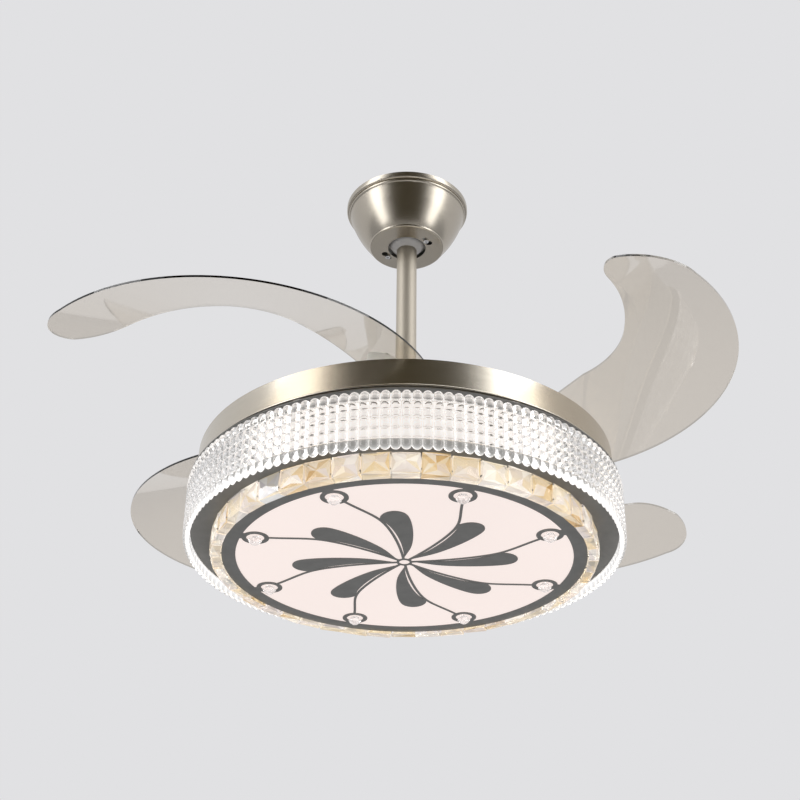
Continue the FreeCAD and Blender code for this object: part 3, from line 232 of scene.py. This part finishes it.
class Finish:
    """A material and its node tree, with short words for adding nodes."""

    def __init__(self, name):
        self.material = bpy.data.materials.new(name)
        self.material.use_nodes = True
        self.tree = self.material.node_tree
        self.shader = self.tree.nodes["Principled BSDF"]

    def node(self, kind, **settings):
        """Add a node and set its own properties."""
        made = self.tree.nodes.new("ShaderNode" + kind)
        for name, value in settings.items():
            setattr(made, name, value)
        return made

    def feed(self, source, node, socket):
        """Link an output to a named or numbered input."""
        self.tree.links.new(source, node.inputs[socket])

    def drive(self, **sources):
        """Link outputs to the shader's own sockets, with underscores for spaces."""
        for name, source in sources.items():
            self.feed(source, self.shader, name.replace("_", " "))

    def constants(self, **values):
        """Set the shader's own sockets, with underscores for spaces."""
        for name, value in values.items():
            self.shader.inputs[name.replace("_", " ")].default_value = value

    def place(self):
        """Object coordinates."""
        return self.node("TexCoord").outputs["Object"]

    def normal(self):
        """The surface's normal."""
        return self.node("NewGeometry").outputs["Normal"]

    def parts(self, vector):
        """The three numbers of a vector."""
        split = self.node("SeparateXYZ")
        self.feed(vector, split, 0)
        return [split.outputs[axis] for axis in "XYZ"]

    def math(self, operation, *sources):
        """One sum of outputs and numbers."""
        made = self.node("Math", operation=operation)
        for socket, source in enumerate(sources):
            if isinstance(source, (int, float)):
                made.inputs[socket].default_value = source
            else:
                self.feed(source, made, socket)
        return made.outputs[0]

    def radius(self):
        """Distance from the fan's axis."""
        x, y, z = self.parts(self.place())
        return self.math("SQRT", self.math("ADD", self.math("MULTIPLY", x, x), self.math("MULTIPLY", y, y)))

    def height(self, low, high):
        """Where a point lies between two heights, from 0 to 1."""
        return self.between(self.parts(self.place())[2], low, high)

    def spun_place(self, grain, along):
        """Coordinates that run round the fan's axis, so that a pattern follows turned metal."""
        x, y, z = self.parts(self.place())
        joined = self.node("CombineXYZ")
        self.feed(self.math("MULTIPLY", self.radius(), grain), joined, "X")
        self.feed(self.math("MULTIPLY", self.math("ARCTAN2", y, x), along), joined, "Y")
        self.feed(self.math("MULTIPLY", z, grain), joined, "Z")
        return joined.outputs[0]

    def noise(self, place, scale, detail=3.0):
        """Smooth noise at a place."""
        made = self.node("TexNoise")
        made.inputs["Scale"].default_value = scale
        made.inputs["Detail"].default_value = detail
        self.feed(place, made, "Vector")
        return made.outputs["Fac"]

    def ramp(self, source, *stops):
        """A colour ramp from pairs of position and colour."""
        made = self.node("ValToRGB")
        points = made.color_ramp.elements
        while len(points) < len(stops):
            points.new(0.5)
        for point, (position, shade) in zip(points, stops):
            point.position = position
            point.color = (*shade, 1)
        self.feed(source, made, "Fac")
        return made.outputs["Color"]

    def levels(self, source, tone, *stops):
        """A ramp of one tone at several strengths, from pairs of position and strength."""
        shades = [(position, [min(1, strength * part) for part in tone]) for position, strength in stops]
        return self.ramp(source, *shades)

    def tinted(self, source, tone):
        """One tone, as strong as an output says."""
        return self.levels(source, tone, (0.0, 0.0), (1.0, 1.0))

    def spread(self, source, low, high):
        """An output from 0 to 1 mapped to a range of numbers."""
        made = self.node("MapRange")
        made.inputs["To Min"].default_value = low
        made.inputs["To Max"].default_value = high
        self.feed(source, made, "Value")
        return made.outputs["Result"]

    def between(self, source, low, high):
        """Where an output lies between two values, from 0 to 1."""
        made = self.node("MapRange")
        made.inputs["From Min"].default_value = low
        made.inputs["From Max"].default_value = high
        self.feed(source, made, "Value")
        return made.outputs["Result"]

    def bump(self, source, strength, depth):
        """A bump on the shader's normal."""
        made = self.node("Bump")
        made.inputs["Strength"].default_value = strength
        made.inputs["Distance"].default_value = depth
        self.feed(source, made, "Height")
        self.drive(Normal=made.outputs["Normal"])

    def shade(self, source, tone, low, high):
        """Base colour that wanders between two strengths of one tone."""
        self.drive(Base_Color=self.levels(source, tone, (0.3, low), (0.7, high)))


def brushed_metal(name, tone, roughness, inner=1.0):
    """Metal with fine brush lines round the fan's axis, darkened with painted shade on a side that looks
    inwards.
    """
    finish = Finish(name)
    lines = finish.noise(finish.spun_place(grain=1800, along=6), scale=1.0)
    # Painted shade: faces that look inwards, such as the inside of the canopy's bell, are darkened by the
    # inner factor
    facing = finish.node("VectorMath", operation="DOT_PRODUCT")
    finish.feed(finish.normal(), facing, 0)
    finish.feed(finish.place(), facing, 1)
    outside = finish.between(facing.outputs["Value"], -1 * MM, 1 * MM)
    level = finish.math("MULTIPLY", finish.spread(lines, 0.86, 1.08), finish.spread(outside, inner, 1.0))
    finish.drive(
        Base_Color=finish.tinted(level, tone),
        Roughness=finish.spread(lines, roughness * 0.8, roughness * 1.25))
    finish.constants(Metallic=1.0, Anisotropic=0.55)
    finish.bump(lines, strength=0.06, depth=0.1 * MM)
    return finish.material


def plated_steel(name, tone, roughness):
    """Plain steel with a slightly clouded plating."""
    finish = Finish(name)
    cloud = finish.noise(finish.place(), scale=140)
    finish.shade(cloud, tone, 0.85, 1.1)
    finish.drive(Roughness=finish.spread(cloud, roughness * 0.8, roughness * 1.3))
    finish.constants(Metallic=1.0)
    finish.bump(finish.noise(finish.place(), scale=900), strength=0.05, depth=0.1 * MM)
    return finish.material


def satin_paint(name, tone, roughness):
    """A dark or pale coat with fine grain."""
    finish = Finish(name)
    finish.shade(finish.noise(finish.place(), scale=60), tone, 0.9, 1.1)
    grain = finish.noise(finish.place(), scale=2400)
    finish.drive(Roughness=finish.spread(grain, roughness * 0.85, roughness * 1.15))
    finish.bump(grain, strength=0.08, depth=0.08 * MM)
    return finish.material


def paint_with_painted_glow(name, tone, painted_glow_tone, edge, fade):
    """A dark coat whose underside, inside a radius, is coloured and lit with a painted glow of the lamp's
    light.
    """
    finish = Finish(name)
    below = finish.between(finish.parts(finish.normal())[2], -0.4, -0.6)
    lit = finish.math("MULTIPLY", below, finish.between(finish.radius(), edge, edge - fade))
    grain = finish.noise(finish.place(), scale=2400)
    finish.drive(
        Base_Color=finish.ramp(lit, (0.0, tone), (1.0, painted_glow_tone)),
        Emission_Color=finish.tinted(lit, painted_glow_tone),
        Roughness=finish.spread(grain, 0.36, 0.48))
    finish.bump(grain, strength=0.08, depth=0.08 * MM)
    finish.constants(Emission_Strength=0.45)
    return finish.material


def moulded_plastic(name, tone, roughness):
    """Moulded plastic with a faint cloud and a fine texture."""
    finish = Finish(name)
    finish.shade(finish.noise(finish.place(), scale=45), tone, 0.93, 1.06)
    grain = finish.noise(finish.place(), scale=1300)
    finish.drive(Roughness=finish.spread(grain, roughness * 0.9, roughness * 1.15))
    finish.bump(grain, strength=0.1, depth=0.1 * MM)
    finish.constants(Specular_IOR_Level=0.4)
    return finish.material


def coil_wire(name, tone):
    """Rows of enamelled wire."""
    finish = Finish(name)
    rows = finish.node("TexWave", bands_direction="Z")
    rows.inputs["Scale"].default_value = 320
    rows.inputs["Distortion"].default_value = 0.4
    finish.feed(finish.place(), rows, "Vector")
    finish.shade(rows.outputs["Fac"], tone, 0.55, 1.1)
    finish.constants(Metallic=0.8, Roughness=0.35)
    finish.bump(rows.outputs["Fac"], strength=0.5, depth=0.4 * MM)
    return finish.material


def clear_sheet(name, tone, edge_tone):
    """Clear polished sheet with slight flow marks and a deeper tint on its cut edges."""
    finish = Finish(name)
    upright = finish.parts(finish.normal())[2]
    flatness = finish.math("MULTIPLY", upright, upright)
    flow = finish.noise(finish.place(), scale=22)
    finish.drive(
        Base_Color=finish.ramp(flatness, (0.2, edge_tone), (0.45, tone)),
        Roughness=finish.spread(flow, 0.01, 0.05))
    finish.bump(flow, strength=0.1, depth=0.4 * MM)
    finish.constants(Transmission_Weight=1.0, IOR=1.06, Coat_Weight=1.0, Coat_Roughness=0.03)
    return finish.material


def lit_beads(name, tone, sizes, low, high):
    """Clear moulded plastic with painted shade on the crowns and a faint painted glow on the outlines, both
    strongest in the end rows.
    """
    finish = Finish(name)
    radius = finish.radius()
    height = finish.height(low, high)
    wall = sizes.wall_radius
    crown = finish.between(radius, wall + sizes.rise * 0.45, wall + sizes.rise)
    outline = finish.between(radius, wall + sizes.rise * 0.5, wall)
    # Painted shade on the crowns and painted glow on the outlines, each set row by row
    painted_crown_shade = finish.math("MULTIPLY", crown, finish.levels(height, WHITE, *PAINTED_CROWN_SHADE))
    glow = finish.math("MULTIPLY", outline, finish.levels(height, WHITE, *PAINTED_OUTLINE_GLOW))
    finish.drive(
        Base_Color=finish.tinted(finish.spread(painted_crown_shade, 1.0, 0.0), tone),
        Emission_Color=finish.tinted(glow, tone),
        Roughness=finish.spread(finish.noise(finish.place(), scale=60), 0.02, 0.09))
    finish.constants(Transmission_Weight=1.0, IOR=1.49, Emission_Strength=0.5)
    return finish.material


def stone_with_painted_light(name, stops, glow):
    """Cut glass whose tint changes from facet to facet as painted reflection, and which glows with painted
    light in the same tints.
    """
    finish = Finish(name)
    tint = finish.node("Attribute", attribute_name="tint")
    shades = finish.ramp(tint.outputs["Fac"], *stops)
    cloud = finish.noise(finish.place(), scale=160)
    finish.drive(Base_Color=shades, Emission_Color=shades, Roughness=finish.spread(cloud, 0.02, 0.12))
    finish.constants(Transmission_Weight=0.7, IOR=1.55, Emission_Strength=glow)
    return finish.material


def lit_wall(name, tone, low, high, strength):
    """A white wall with a painted glow of the lamp strip's light, brightest where the strip lights it."""
    finish = Finish(name)
    finish.drive(Emission_Color=finish.levels(finish.height(low, high), tone, *PAINTED_WALL_GLOW))
    finish.shade(finish.noise(finish.place(), scale=300), tone, 0.35, 0.45)
    finish.constants(Emission_Strength=strength, Roughness=0.6)
    return finish.material


def lit_panel(name, tone, strength):
    """A frosted sheet lit from behind, a little brighter over its lamps."""
    finish = Finish(name)
    cloud = finish.noise(finish.place(), scale=5, detail=1.0)
    finish.drive(Emission_Color=finish.levels(cloud, tone, (0.3, 0.97), (0.7, 1.0)))
    finish.shade(finish.noise(finish.place(), scale=900), tone, 0.28, 0.32)
    finish.constants(Emission_Strength=strength, Roughness=0.55)
    return finish.material


def fresh_mesh(add, name, **settings):
    """Deselect everything, add a primitive, name it and enter edit mode."""
    bpy.ops.object.select_all(action="DESELECT")
    add(**settings)
    made = bpy.context.active_object
    made.name = name
    made.data.name = name
    bpy.ops.object.transform_apply(location=True, rotation=True, scale=True)
    bpy.ops.object.mode_set(mode="EDIT")
    bpy.ops.mesh.select_all(action="SELECT")
    return made


def pick(made, kind, test):
    """Select only the points, edges or faces that pass a test."""
    bpy.ops.mesh.select_mode(type=kind)
    bpy.ops.mesh.select_all(action="DESELECT")
    cells = bmesh.from_edit_mesh(made.data)
    for part in {"VERT": cells.verts, "EDGE": cells.edges, "FACE": cells.faces}[kind]:
        part.select_set(test(part))
    bmesh.update_edit_mesh(made.data)


def copies_round(count):
    """Repeat what is selected evenly round the fan's axis."""
    bpy.ops.mesh.spin(
        steps=count - 1, dupli=True, angle=TURN * (count - 1) / count, center=CENTRE, axis=(0, 0, 1))


def leave_edit(made, crease):
    """Merge doubles, point the faces outwards, go back to object mode and smooth shallow edges."""
    bpy.ops.mesh.select_all(action="SELECT")
    bpy.ops.mesh.remove_doubles(threshold=MERGE)
    bpy.ops.mesh.normals_make_consistent(inside=False)
    bpy.ops.object.mode_set(mode="OBJECT")
    bpy.ops.object.shade_smooth_by_angle(angle=math.radians(crease))


def tint_facets(made, seed, stones):
    """Give each stone a tint of its own and each facet a change of it, which paints reflections on the
    facets.
    """
    chance = random.Random(seed)
    of_stone = [chance.random() for k in range(stones)]
    layer = made.data.attributes.new("tint", "FLOAT", "FACE")
    for face, value in zip(made.data.polygons, layer.data):
        stone = round(math.atan2(face.center.y, face.center.x) / TURN * stones) % stones
        value.value = of_stone[stone] * STONE_TINT + chance.random() * (1 - STONE_TINT)


def dress(made, material):
    """Give a piece one material."""
    made.data.materials.clear()
    made.data.materials.append(material)


def dress_nodes(material, *names):
    """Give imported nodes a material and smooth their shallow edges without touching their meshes."""
    for name in names:
        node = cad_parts[name]
        dress(node, material)
        node.data.polygons.foreach_set("use_smooth", [True] * len(node.data.polygons))
        weld = node.modifiers.new("Weld", "WELD")
        weld.merge_threshold = WELD
        split = node.modifiers.new("Crease", "EDGE_SPLIT")
        split.split_angle = NODE_CREASE


class FAN_OT_bead_band(bpy.types.Operator):
    """Model the clear band: columns of beads with scalloped ends on a closed curved wall"""
    bl_idname = "fan.bead_band"
    bl_label = "Bead band"

    def execute(self, context):
        sizes = context.scene.fan_beads
        low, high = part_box("bead_band")
        band = self.column(sizes, low.z, high.z)
        self.swell(sizes)
        self.ring(band, sizes, low.z, high.z)
        leave_edit(band, crease=100)
        # The beads carry painted shade on their crowns and painted glow on their outlines
        dress(band, lit_beads("Clear beads with painted shade and glow", context.scene.fan_finish.clear, sizes, low.z, high.z))
        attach(band, "suspension")
        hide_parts("bead_band")
        return {"FINISHED"}

    def column(self, sizes, low, high):
        """One column of flat discs in square cells and the smooth back behind them, with the discs picked."""
        step = TURN / sizes.columns
        corner = TURN / sizes.sides / 2
        across = 2 * sizes.wall_radius * math.sin(step / 2)
        tall = (high - low) / sizes.rows
        made = fresh_mesh(
            bpy.ops.mesh.primitive_circle_add, "bead_band_dressed", vertices=sizes.sides, fill_type="NGON",
            radius=0.5 / math.cos(corner), rotation=(0, 0, corner))
        bpy.ops.mesh.inset(thickness=sizes.margin / tall)
        pick(made, "VERT", lambda vert: min(abs(vert.co.x), abs(vert.co.y)) > CORNER_SHARE)
        square = math.cos(corner) / math.cos(TURN / 8)
        bpy.ops.transform.resize(value=(square, square, 1), center_override=CENTRE)
        bpy.ops.mesh.select_all(action="SELECT")
        bpy.ops.transform.resize(value=(tall, across, 1))
        bpy.ops.transform.rotate(value=-math.pi / 2, orient_axis="Y", center_override=CENTRE)
        bpy.ops.transform.translate(value=(sizes.wall_radius * math.cos(step / 2), 0, low + tall / 2))
        for row in range(1, sizes.rows):
            bpy.ops.mesh.duplicate()
            bpy.ops.transform.translate(value=(0, 0, tall))
        for side, middle in ((-1, low + tall / 2), (1, high - tall / 2)):
            pick(made, "VERT", lambda vert: (
                side * (vert.co.z - middle) > tall * END_CORNER_SHARE
                and abs(vert.co.y) > across * END_CORNER_SHARE))
            bpy.ops.transform.resize(value=(1, 1 / square, 1 / square), center_override=(0, 0, middle))
        pick(made, "FACE", lambda face: face.normal.x < 0)
        bpy.ops.mesh.flip_normals()
        bpy.ops.mesh.select_all(action="SELECT")
        bpy.ops.mesh.duplicate()
        inward = sizes.inner_radius / sizes.wall_radius
        bpy.ops.transform.resize(value=(inward, inward, 1), center_override=CENTRE)
        bpy.ops.mesh.flip_normals()
        pick(made, "FACE", lambda face: len(face.verts) == sizes.sides and face.normal.x > 0)
        return made

    def swell(self, sizes):
        """Raise each picked disc to a bead, in rounded steps."""
        turns = [TURN / 4 * step / (sizes.steps + 0.5) for step in range(sizes.steps + 1)]
        for before, after in zip(turns, turns[1:]):
            inset = sizes.reach * (math.cos(before) - math.cos(after))
            lift = sizes.rise * (math.sin(after) - math.sin(before))
            bpy.ops.mesh.inset(thickness=inset, depth=lift, use_individual=True)

    def ring(self, made, sizes, low, high):
        """Repeat the column round the fan's axis and close the scalloped ends."""
        bpy.ops.mesh.select_all(action="SELECT")
        copies_round(sizes.columns)
        bpy.ops.mesh.select_all(action="SELECT")
        bpy.ops.mesh.remove_doubles(threshold=MERGE)
        middle = (low + high) / 2
        for side in (-1, 1):
            pick(made, "EDGE", lambda edge: (
                edge.is_boundary and side * (edge.verts[0].co.z + edge.verts[1].co.z - 2 * middle) > 0))
            bpy.ops.mesh.bridge_edge_loops()


class FAN_OT_amber_stones(bpy.types.Operator):
    """Cut one square stone, repeat it round the panel and tint the facets with painted reflection"""
    bl_idname = "fan.amber_stones"
    bl_label = "Amber stones"

    def execute(self, context):
        sizes = context.scene.fan_stones
        finish = context.scene.fan_finish
        low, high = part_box("amber_crystals")
        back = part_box("crystal_collar")[1].x + sizes.stand_off
        front = back + sizes.base
        width = TURN * front / sizes.count - sizes.gap
        made = fresh_mesh(bpy.ops.mesh.primitive_cube_add, "amber_stones_dressed", size=1)
        bpy.ops.transform.resize(value=(sizes.base, width, high.z - low.z))
        bpy.ops.transform.translate(value=((back + front) / 2, 0, (low.z + high.z) / 2))
        pick(made, "FACE", lambda face: face.normal.x < -FACING)
        bpy.ops.transform.resize(value=(1, back / front, 1))
        pick(made, "FACE", lambda face: face.normal.x > FACING)
        bpy.ops.mesh.inset(thickness=sizes.girdle, depth=sizes.girdle_rise)
        bpy.ops.mesh.poke(offset=sizes.point_rise)
        bpy.ops.mesh.poke(offset=sizes.facet_rise)
        bpy.ops.mesh.select_all(action="SELECT")
        bpy.ops.mesh.quads_convert_to_tris(quad_method="BEAUTY", ngon_method="BEAUTY")
        copies_round(sizes.count)
        pick(made, "VERT", lambda vert: math.hypot(vert.co.x, vert.co.y) > front + sizes.girdle_rise / 2)
        bpy.ops.transform.vertex_random(offset=sizes.stray, uniform=1, seed=3)
        leave_edit(made, crease=2)
        tint_facets(made, seed=17, stones=sizes.count)
        # Facet tints with painted reflection and a painted glint, and a painted glow in the same tints
        stops = [
            (0.0, finish.amber), (0.16, finish.honey), (0.34, finish.champagne), (0.66, finish.lilac),
            (0.86, finish.painted_glint),
        ]
        dress(made, stone_with_painted_light("Amber glass with painted glow", stops, glow=0.24))
        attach(made, "suspension")
        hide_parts("amber_crystals")
        return {"FINISHED"}


class FAN_OT_clear_stones(bpy.types.Operator):
    """Cut one clear round stone and set it in every eyelet of the panel"""
    bl_idname = "fan.clear_stones"
    bl_label = "Clear stones"

    def execute(self, context):
        sizes = context.scene.fan_stones
        finish = context.scene.fan_finish
        low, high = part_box("panel_crystals")
        made = fresh_mesh(
            bpy.ops.mesh.primitive_circle_add, "clear_stones_dressed", vertices=sizes.clear_sides,
            radius=sizes.clear_seat, fill_type="NGON", location=(0, 0, high.z))
        lower = low.z - (high.z - sizes.clear_crown)
        waist = sizes.clear_radius * sizes.clear_waist
        self.step_out(sizes, sizes.clear_seat, sizes.clear_radius, -sizes.clear_crown)
        self.step_out(sizes, sizes.clear_radius, waist, lower * sizes.clear_break)
        self.step_out(sizes, waist, sizes.clear_table, lower * (1 - sizes.clear_break))
        bpy.ops.mesh.select_all(action="SELECT")
        bpy.ops.mesh.quads_convert_to_tris(quad_method="BEAUTY", ngon_method="BEAUTY")
        bpy.ops.transform.translate(value=(sizes.eyelet_ring, 0, 0))
        bpy.ops.transform.rotate(value=-sizes.eyelet_turn, orient_axis="Z", center_override=CENTRE)
        copies_round(sizes.eyelets)
        leave_edit(made, crease=2)
        tint_facets(made, seed=5, stones=sizes.eyelets)
        # Lighter and darker facets are painted reflection, and the glow is painted light
        stops = [(0.0, finish.glass_deep), (0.5, finish.glass), (1.0, WHITE)]
        dress(made, stone_with_painted_light("Clear glass with painted glow", stops, glow=0.12))
        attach(made, "suspension")
        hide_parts("panel_crystals")
        return {"FINISHED"}

    def step_out(self, sizes, now, wanted, rise):
        """Extrude the open face up or down to a new radius, turned by half a facet."""
        bpy.ops.mesh.extrude_region_move(TRANSFORM_OT_translate={"value": (0, 0, rise)})
        bpy.ops.transform.resize(value=(wanted / now, wanted / now, 1), center_override=CENTRE)
        bpy.ops.transform.rotate(value=TURN / sizes.clear_sides / 2, orient_axis="Z", center_override=CENTRE)


class FAN_OT_clear_blades(bpy.types.Operator):
    """Smoked clear sheet on the four blades"""
    bl_idname = "fan.clear_blades"
    bl_label = "Clear blades"

    def execute(self, context):
        finish = context.scene.fan_finish
        blades = [f"blade_{blade}" for blade in BLADES]
        dress_nodes(clear_sheet("Smoked acrylic", finish.smoke, finish.smoke_edge), *blades)
        return {"FINISHED"}


class FAN_OT_nickel(bpy.types.Operator):
    """Brushed nickel on the canopy, the rod, the covers and the pan"""
    bl_idname = "fan.nickel"
    bl_label = "Brushed nickel"

    def execute(self, context):
        nickel = context.scene.fan_finish.nickel
        satin = context.scene.fan_finish.satin
        # The canopy and the rod take the darker nickel as painted shade, and the canopy's inside is darkened
        # further as painted shade
        dress_nodes(brushed_metal("Nickel with painted shade", satin, roughness=0.24, inner=0.12), "canopy")
        dress_nodes(brushed_metal("Brushed nickel", nickel, roughness=0.22), "lamp_pan")
        dress_nodes(brushed_metal("Drawn nickel tube", satin, roughness=0.5), "downrod")
        dress_nodes(brushed_metal("Spun cover", nickel, roughness=0.3), "coupling_cover", "motor_cover")
        return {"FINISHED"}


class FAN_OT_hardware(bpy.types.Operator):
    """Plated steel, castings and moulded pieces of the mount, the motor and the folding gear"""
    bl_idname = "fan.hardware"
    bl_label = "Hardware"

    def execute(self, context):
        finish = context.scene.fan_finish
        fasteners = [f"blade_fasteners_{blade}" for blade in BLADES]
        pins = [f"pivot_pin_{blade}" for blade in BLADES]
        hubs = [f"blade_hub_{blade}" for blade in BLADES]
        dress_nodes(
            plated_steel("Zinc plate", finish.zinc, roughness=0.38), "hanger_bracket", "coupling",
            "coupling_bolt", "coupling_set_screws", "shaft_nut", "lamp_plate", "pan_screws", "panel_clips",
            "rotor_screws", *fasteners)
        dress_nodes(
            plated_steel("Ground steel", finish.steel, roughness=0.22), "canopy_screws", "ball_pin",
            "motor_shaft", "motor_bearings", "return_springs", *pins)
        dress_nodes(
            plated_steel("Cast alloy", finish.alloy, roughness=0.5), "rotor_upper_bell", "rotor_lower_bell")
        dress_nodes(brushed_metal("Satin tray", finish.tray, roughness=0.36), "blade_tray")
        dress_nodes(plated_steel("Sintered bronze", finish.bronze, roughness=0.45), "pivot_bushes")
        dress_nodes(satin_paint("Core steel", finish.core, roughness=0.5), "stator_core", "magnet_ring")
        dress_nodes(coil_wire("Enamelled wire", finish.copper), "stator_windings")
        dress_nodes(
            moulded_plastic("Nylon", finish.nylon, roughness=0.45), "sync_ring", "ring_guides", *hubs)
        dress_nodes(moulded_plastic("Grey ball", finish.ball, roughness=0.5), "hanger_ball")
        dress_nodes(moulded_plastic("Receiver shell", finish.shell, roughness=0.5), "receiver_box")
        return {"FINISHED"}


class FAN_OT_light_drum(bpy.types.Operator):
    """Dark rings and ornament with a painted glow under the upper ring, the lit panel, and a painted glow on
    the wall behind the beads, on its posts and on the collar
    """
    bl_idname = "fan.light_drum"
    bl_label = "Light drum"

    def execute(self, context):
        finish = context.scene.fan_finish
        wall = context.scene.fan_beads.inner_radius
        low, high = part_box("band_reflector")
        dress_nodes(
            satin_paint("Gunmetal", finish.gunmetal, roughness=0.42), "lower_frame_ring", "panel_ornament",
            "crystal_pins")
        # Painted glow of the lamp's light under the upper ring
        dress_nodes(
            paint_with_painted_glow("Gunmetal with painted glow underneath", finish.gunmetal, finish.lamp, edge=wall, fade=8 * MM),
            "upper_frame_ring")
        dress_nodes(lit_panel("Frosted panel", finish.panel, strength=0.82), "diffuser_panel")
        # The reflector and its posts glow with painted light of the lamp strip
        dress_nodes(
            lit_wall("Reflector with painted glow", finish.lamp, low.z, high.z, strength=0.79), "band_reflector",
            "frame_posts")
        # The collar behind the amber stones glows with painted light
        dress_nodes(lit_panel("Collar with painted glow", finish.collar, strength=0.55), "crystal_collar")
        dress_nodes(lit_panel("Lamp chips", finish.chips, strength=1.0), "panel_leds")
        dress_nodes(satin_paint("White board", finish.board, roughness=0.4), "led_board")
        dress_nodes(moulded_plastic("Driver case", finish.case, roughness=0.5), "led_driver")
        return {"FINISHED"}


class FAN_OT_studio(bpy.types.Operator):
    """Pale floor and backdrop, two side lights, a top light and the camera"""
    bl_idname = "fan.studio"
    bl_label = "Studio"

    def execute(self, context):
        stage = context.scene.fan_stage
        context.scene.view_settings.view_transform = "Standard"
        self.backdrop(context, stage)
        self.floor(stage)
        x, y, z = stage.side_place
        for side in (-1, 1):
            self.lamp(
                "Side light", Vector((side * x, y, z)), stage.aim, stage.side_width, stage.side_height,
                stage.side_power)
        self.lamp("Top light", stage.top_place, stage.aim, stage.top_size, stage.top_size, stage.top_power)
        self.flag(stage)
        self.camera(context, stage)
        return {"FINISHED"}

    def backdrop(self, context, stage):
        """An even pale world, a little weaker where it lights rough surfaces."""
        world = bpy.data.worlds.new("Studio")
        context.scene.world = world
        world.use_nodes = True
        tree = world.node_tree
        light = tree.nodes["Background"]
        light.inputs["Color"].default_value = (*stage.backdrop, 1)
        path = tree.nodes.new("ShaderNodeLightPath")
        seen = path.outputs["Is Camera Ray"]
        for name in ("Is Glossy Ray", "Is Transmission Ray"):
            either = tree.nodes.new("ShaderNodeMath")
            either.operation = "MAXIMUM"
            tree.links.new(seen, either.inputs[0])
            tree.links.new(path.outputs[name], either.inputs[1])
            seen = either.outputs[0]
        level = tree.nodes.new("ShaderNodeMapRange")
        level.inputs["To Min"].default_value = stage.fill
        tree.links.new(seen, level.inputs["Value"])
        tree.links.new(level.outputs["Result"], light.inputs["Strength"])

    def floor(self, stage):
        """A wide pale floor well below the fan."""
        made = fresh_mesh(
            bpy.ops.mesh.primitive_plane_add, "floor", size=stage.floor_size,
            location=(0, 0, -stage.floor_drop))
        bpy.ops.mesh.subdivide(number_cuts=4)
        bpy.ops.object.mode_set(mode="OBJECT")
        dress(made, satin_paint("Pale floor", stage.floor_tone, roughness=0.7))

    def flag(self, stage):
        """A dark card behind the camera, which only shows as the dark middle of the metal's reflections."""
        made = fresh_mesh(
            bpy.ops.mesh.primitive_plane_add, "flag", size=1, location=stage.card_place,
            rotation=(math.pi / 2, 0, 0))
        bpy.ops.transform.resize(
            value=(stage.card_width, 1, stage.card_height), center_override=stage.card_place)
        bpy.ops.object.mode_set(mode="OBJECT")
        dress(made, satin_paint("Dark card", stage.card_tone, roughness=0.9))
        made.visible_camera = False
        made.visible_shadow = False
        made.visible_diffuse = False

    def lamp(self, name, place, aim, width, height, watts):
        """A soft light at a place, aimed at the drum."""
        turn = (aim - place).to_track_quat("-Z", "Y").to_euler()
        bpy.ops.object.select_all(action="DESELECT")
        bpy.ops.object.light_add(type="AREA", location=place, rotation=turn)
        lamp = bpy.context.active_object
        lamp.name = name
        lamp.data.shape = "RECTANGLE"
        lamp.data.size = width
        lamp.data.size_y = height
        lamp.data.energy = watts

    def camera(self, context, stage):
        """The camera, below the fan and looking up."""
        bpy.ops.object.select_all(action="DESELECT")
        bpy.ops.object.camera_add()
        camera = bpy.context.active_object
        turn = Matrix.Rotation(math.pi / 2 + stage.pitch, 4, "X") @ Matrix.Rotation(stage.roll, 4, "Z")
        camera.matrix_world = Matrix.Translation(stage.camera_place) @ turn
        camera.data.lens = stage.lens
        camera.data.sensor_width = stage.sensor
        context.scene.camera = camera


class FAN_PT_panel(bpy.types.Panel):
    """Lists the fan's pieces and settings"""
    bl_idname = "FAN_PT_panel"
    bl_label = "Ceiling fan"
    bl_space_type = "VIEW_3D"
    bl_region_type = "UI"
    bl_category = "Fan"

    def draw(self, context):
        for operator in OPERATORS:
            self.layout.operator(operator.bl_idname)
        for name in SETTINGS:
            box = self.layout.box()
            group = getattr(context.scene, name)
            for setting in group.bl_rna.properties:
                if setting.identifier not in ("rna_type", "name"):
                    box.prop(group, setting.identifier)


OPERATORS = [
    FAN_OT_bead_band, FAN_OT_amber_stones, FAN_OT_clear_stones, FAN_OT_clear_blades, FAN_OT_nickel,
    FAN_OT_hardware, FAN_OT_light_drum, FAN_OT_studio,
]
SETTINGS = {
    "fan_beads": FanBeadSettings,
    "fan_stones": FanStoneSettings,
    "fan_finish": FanFinishSettings,
    "fan_stage": FanStageSettings,
}


def register():
    for name, group in SETTINGS.items():
        bpy.utils.register_class(group)
        setattr(bpy.types.Scene, name, PointerProperty(type=group))
    for item in (*OPERATORS, FAN_PT_panel):
        bpy.utils.register_class(item)


def unregister():
    for item in (FAN_PT_panel, *reversed(OPERATORS)):
        bpy.utils.unregister_class(item)
    for name, group in SETTINGS.items():
        delattr(bpy.types.Scene, name)
        bpy.utils.unregister_class(group)


def main():
    """Build the dressed fan."""
    register()
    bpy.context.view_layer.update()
    bpy.ops.fan.bead_band()
    bpy.ops.fan.amber_stones()
    bpy.ops.fan.clear_stones()
    bpy.ops.fan.clear_blades()
    bpy.ops.fan.nickel()
    bpy.ops.fan.hardware()
    bpy.ops.fan.light_drum()
    bpy.ops.fan.studio()


if __name__ == "__main__":
    main()
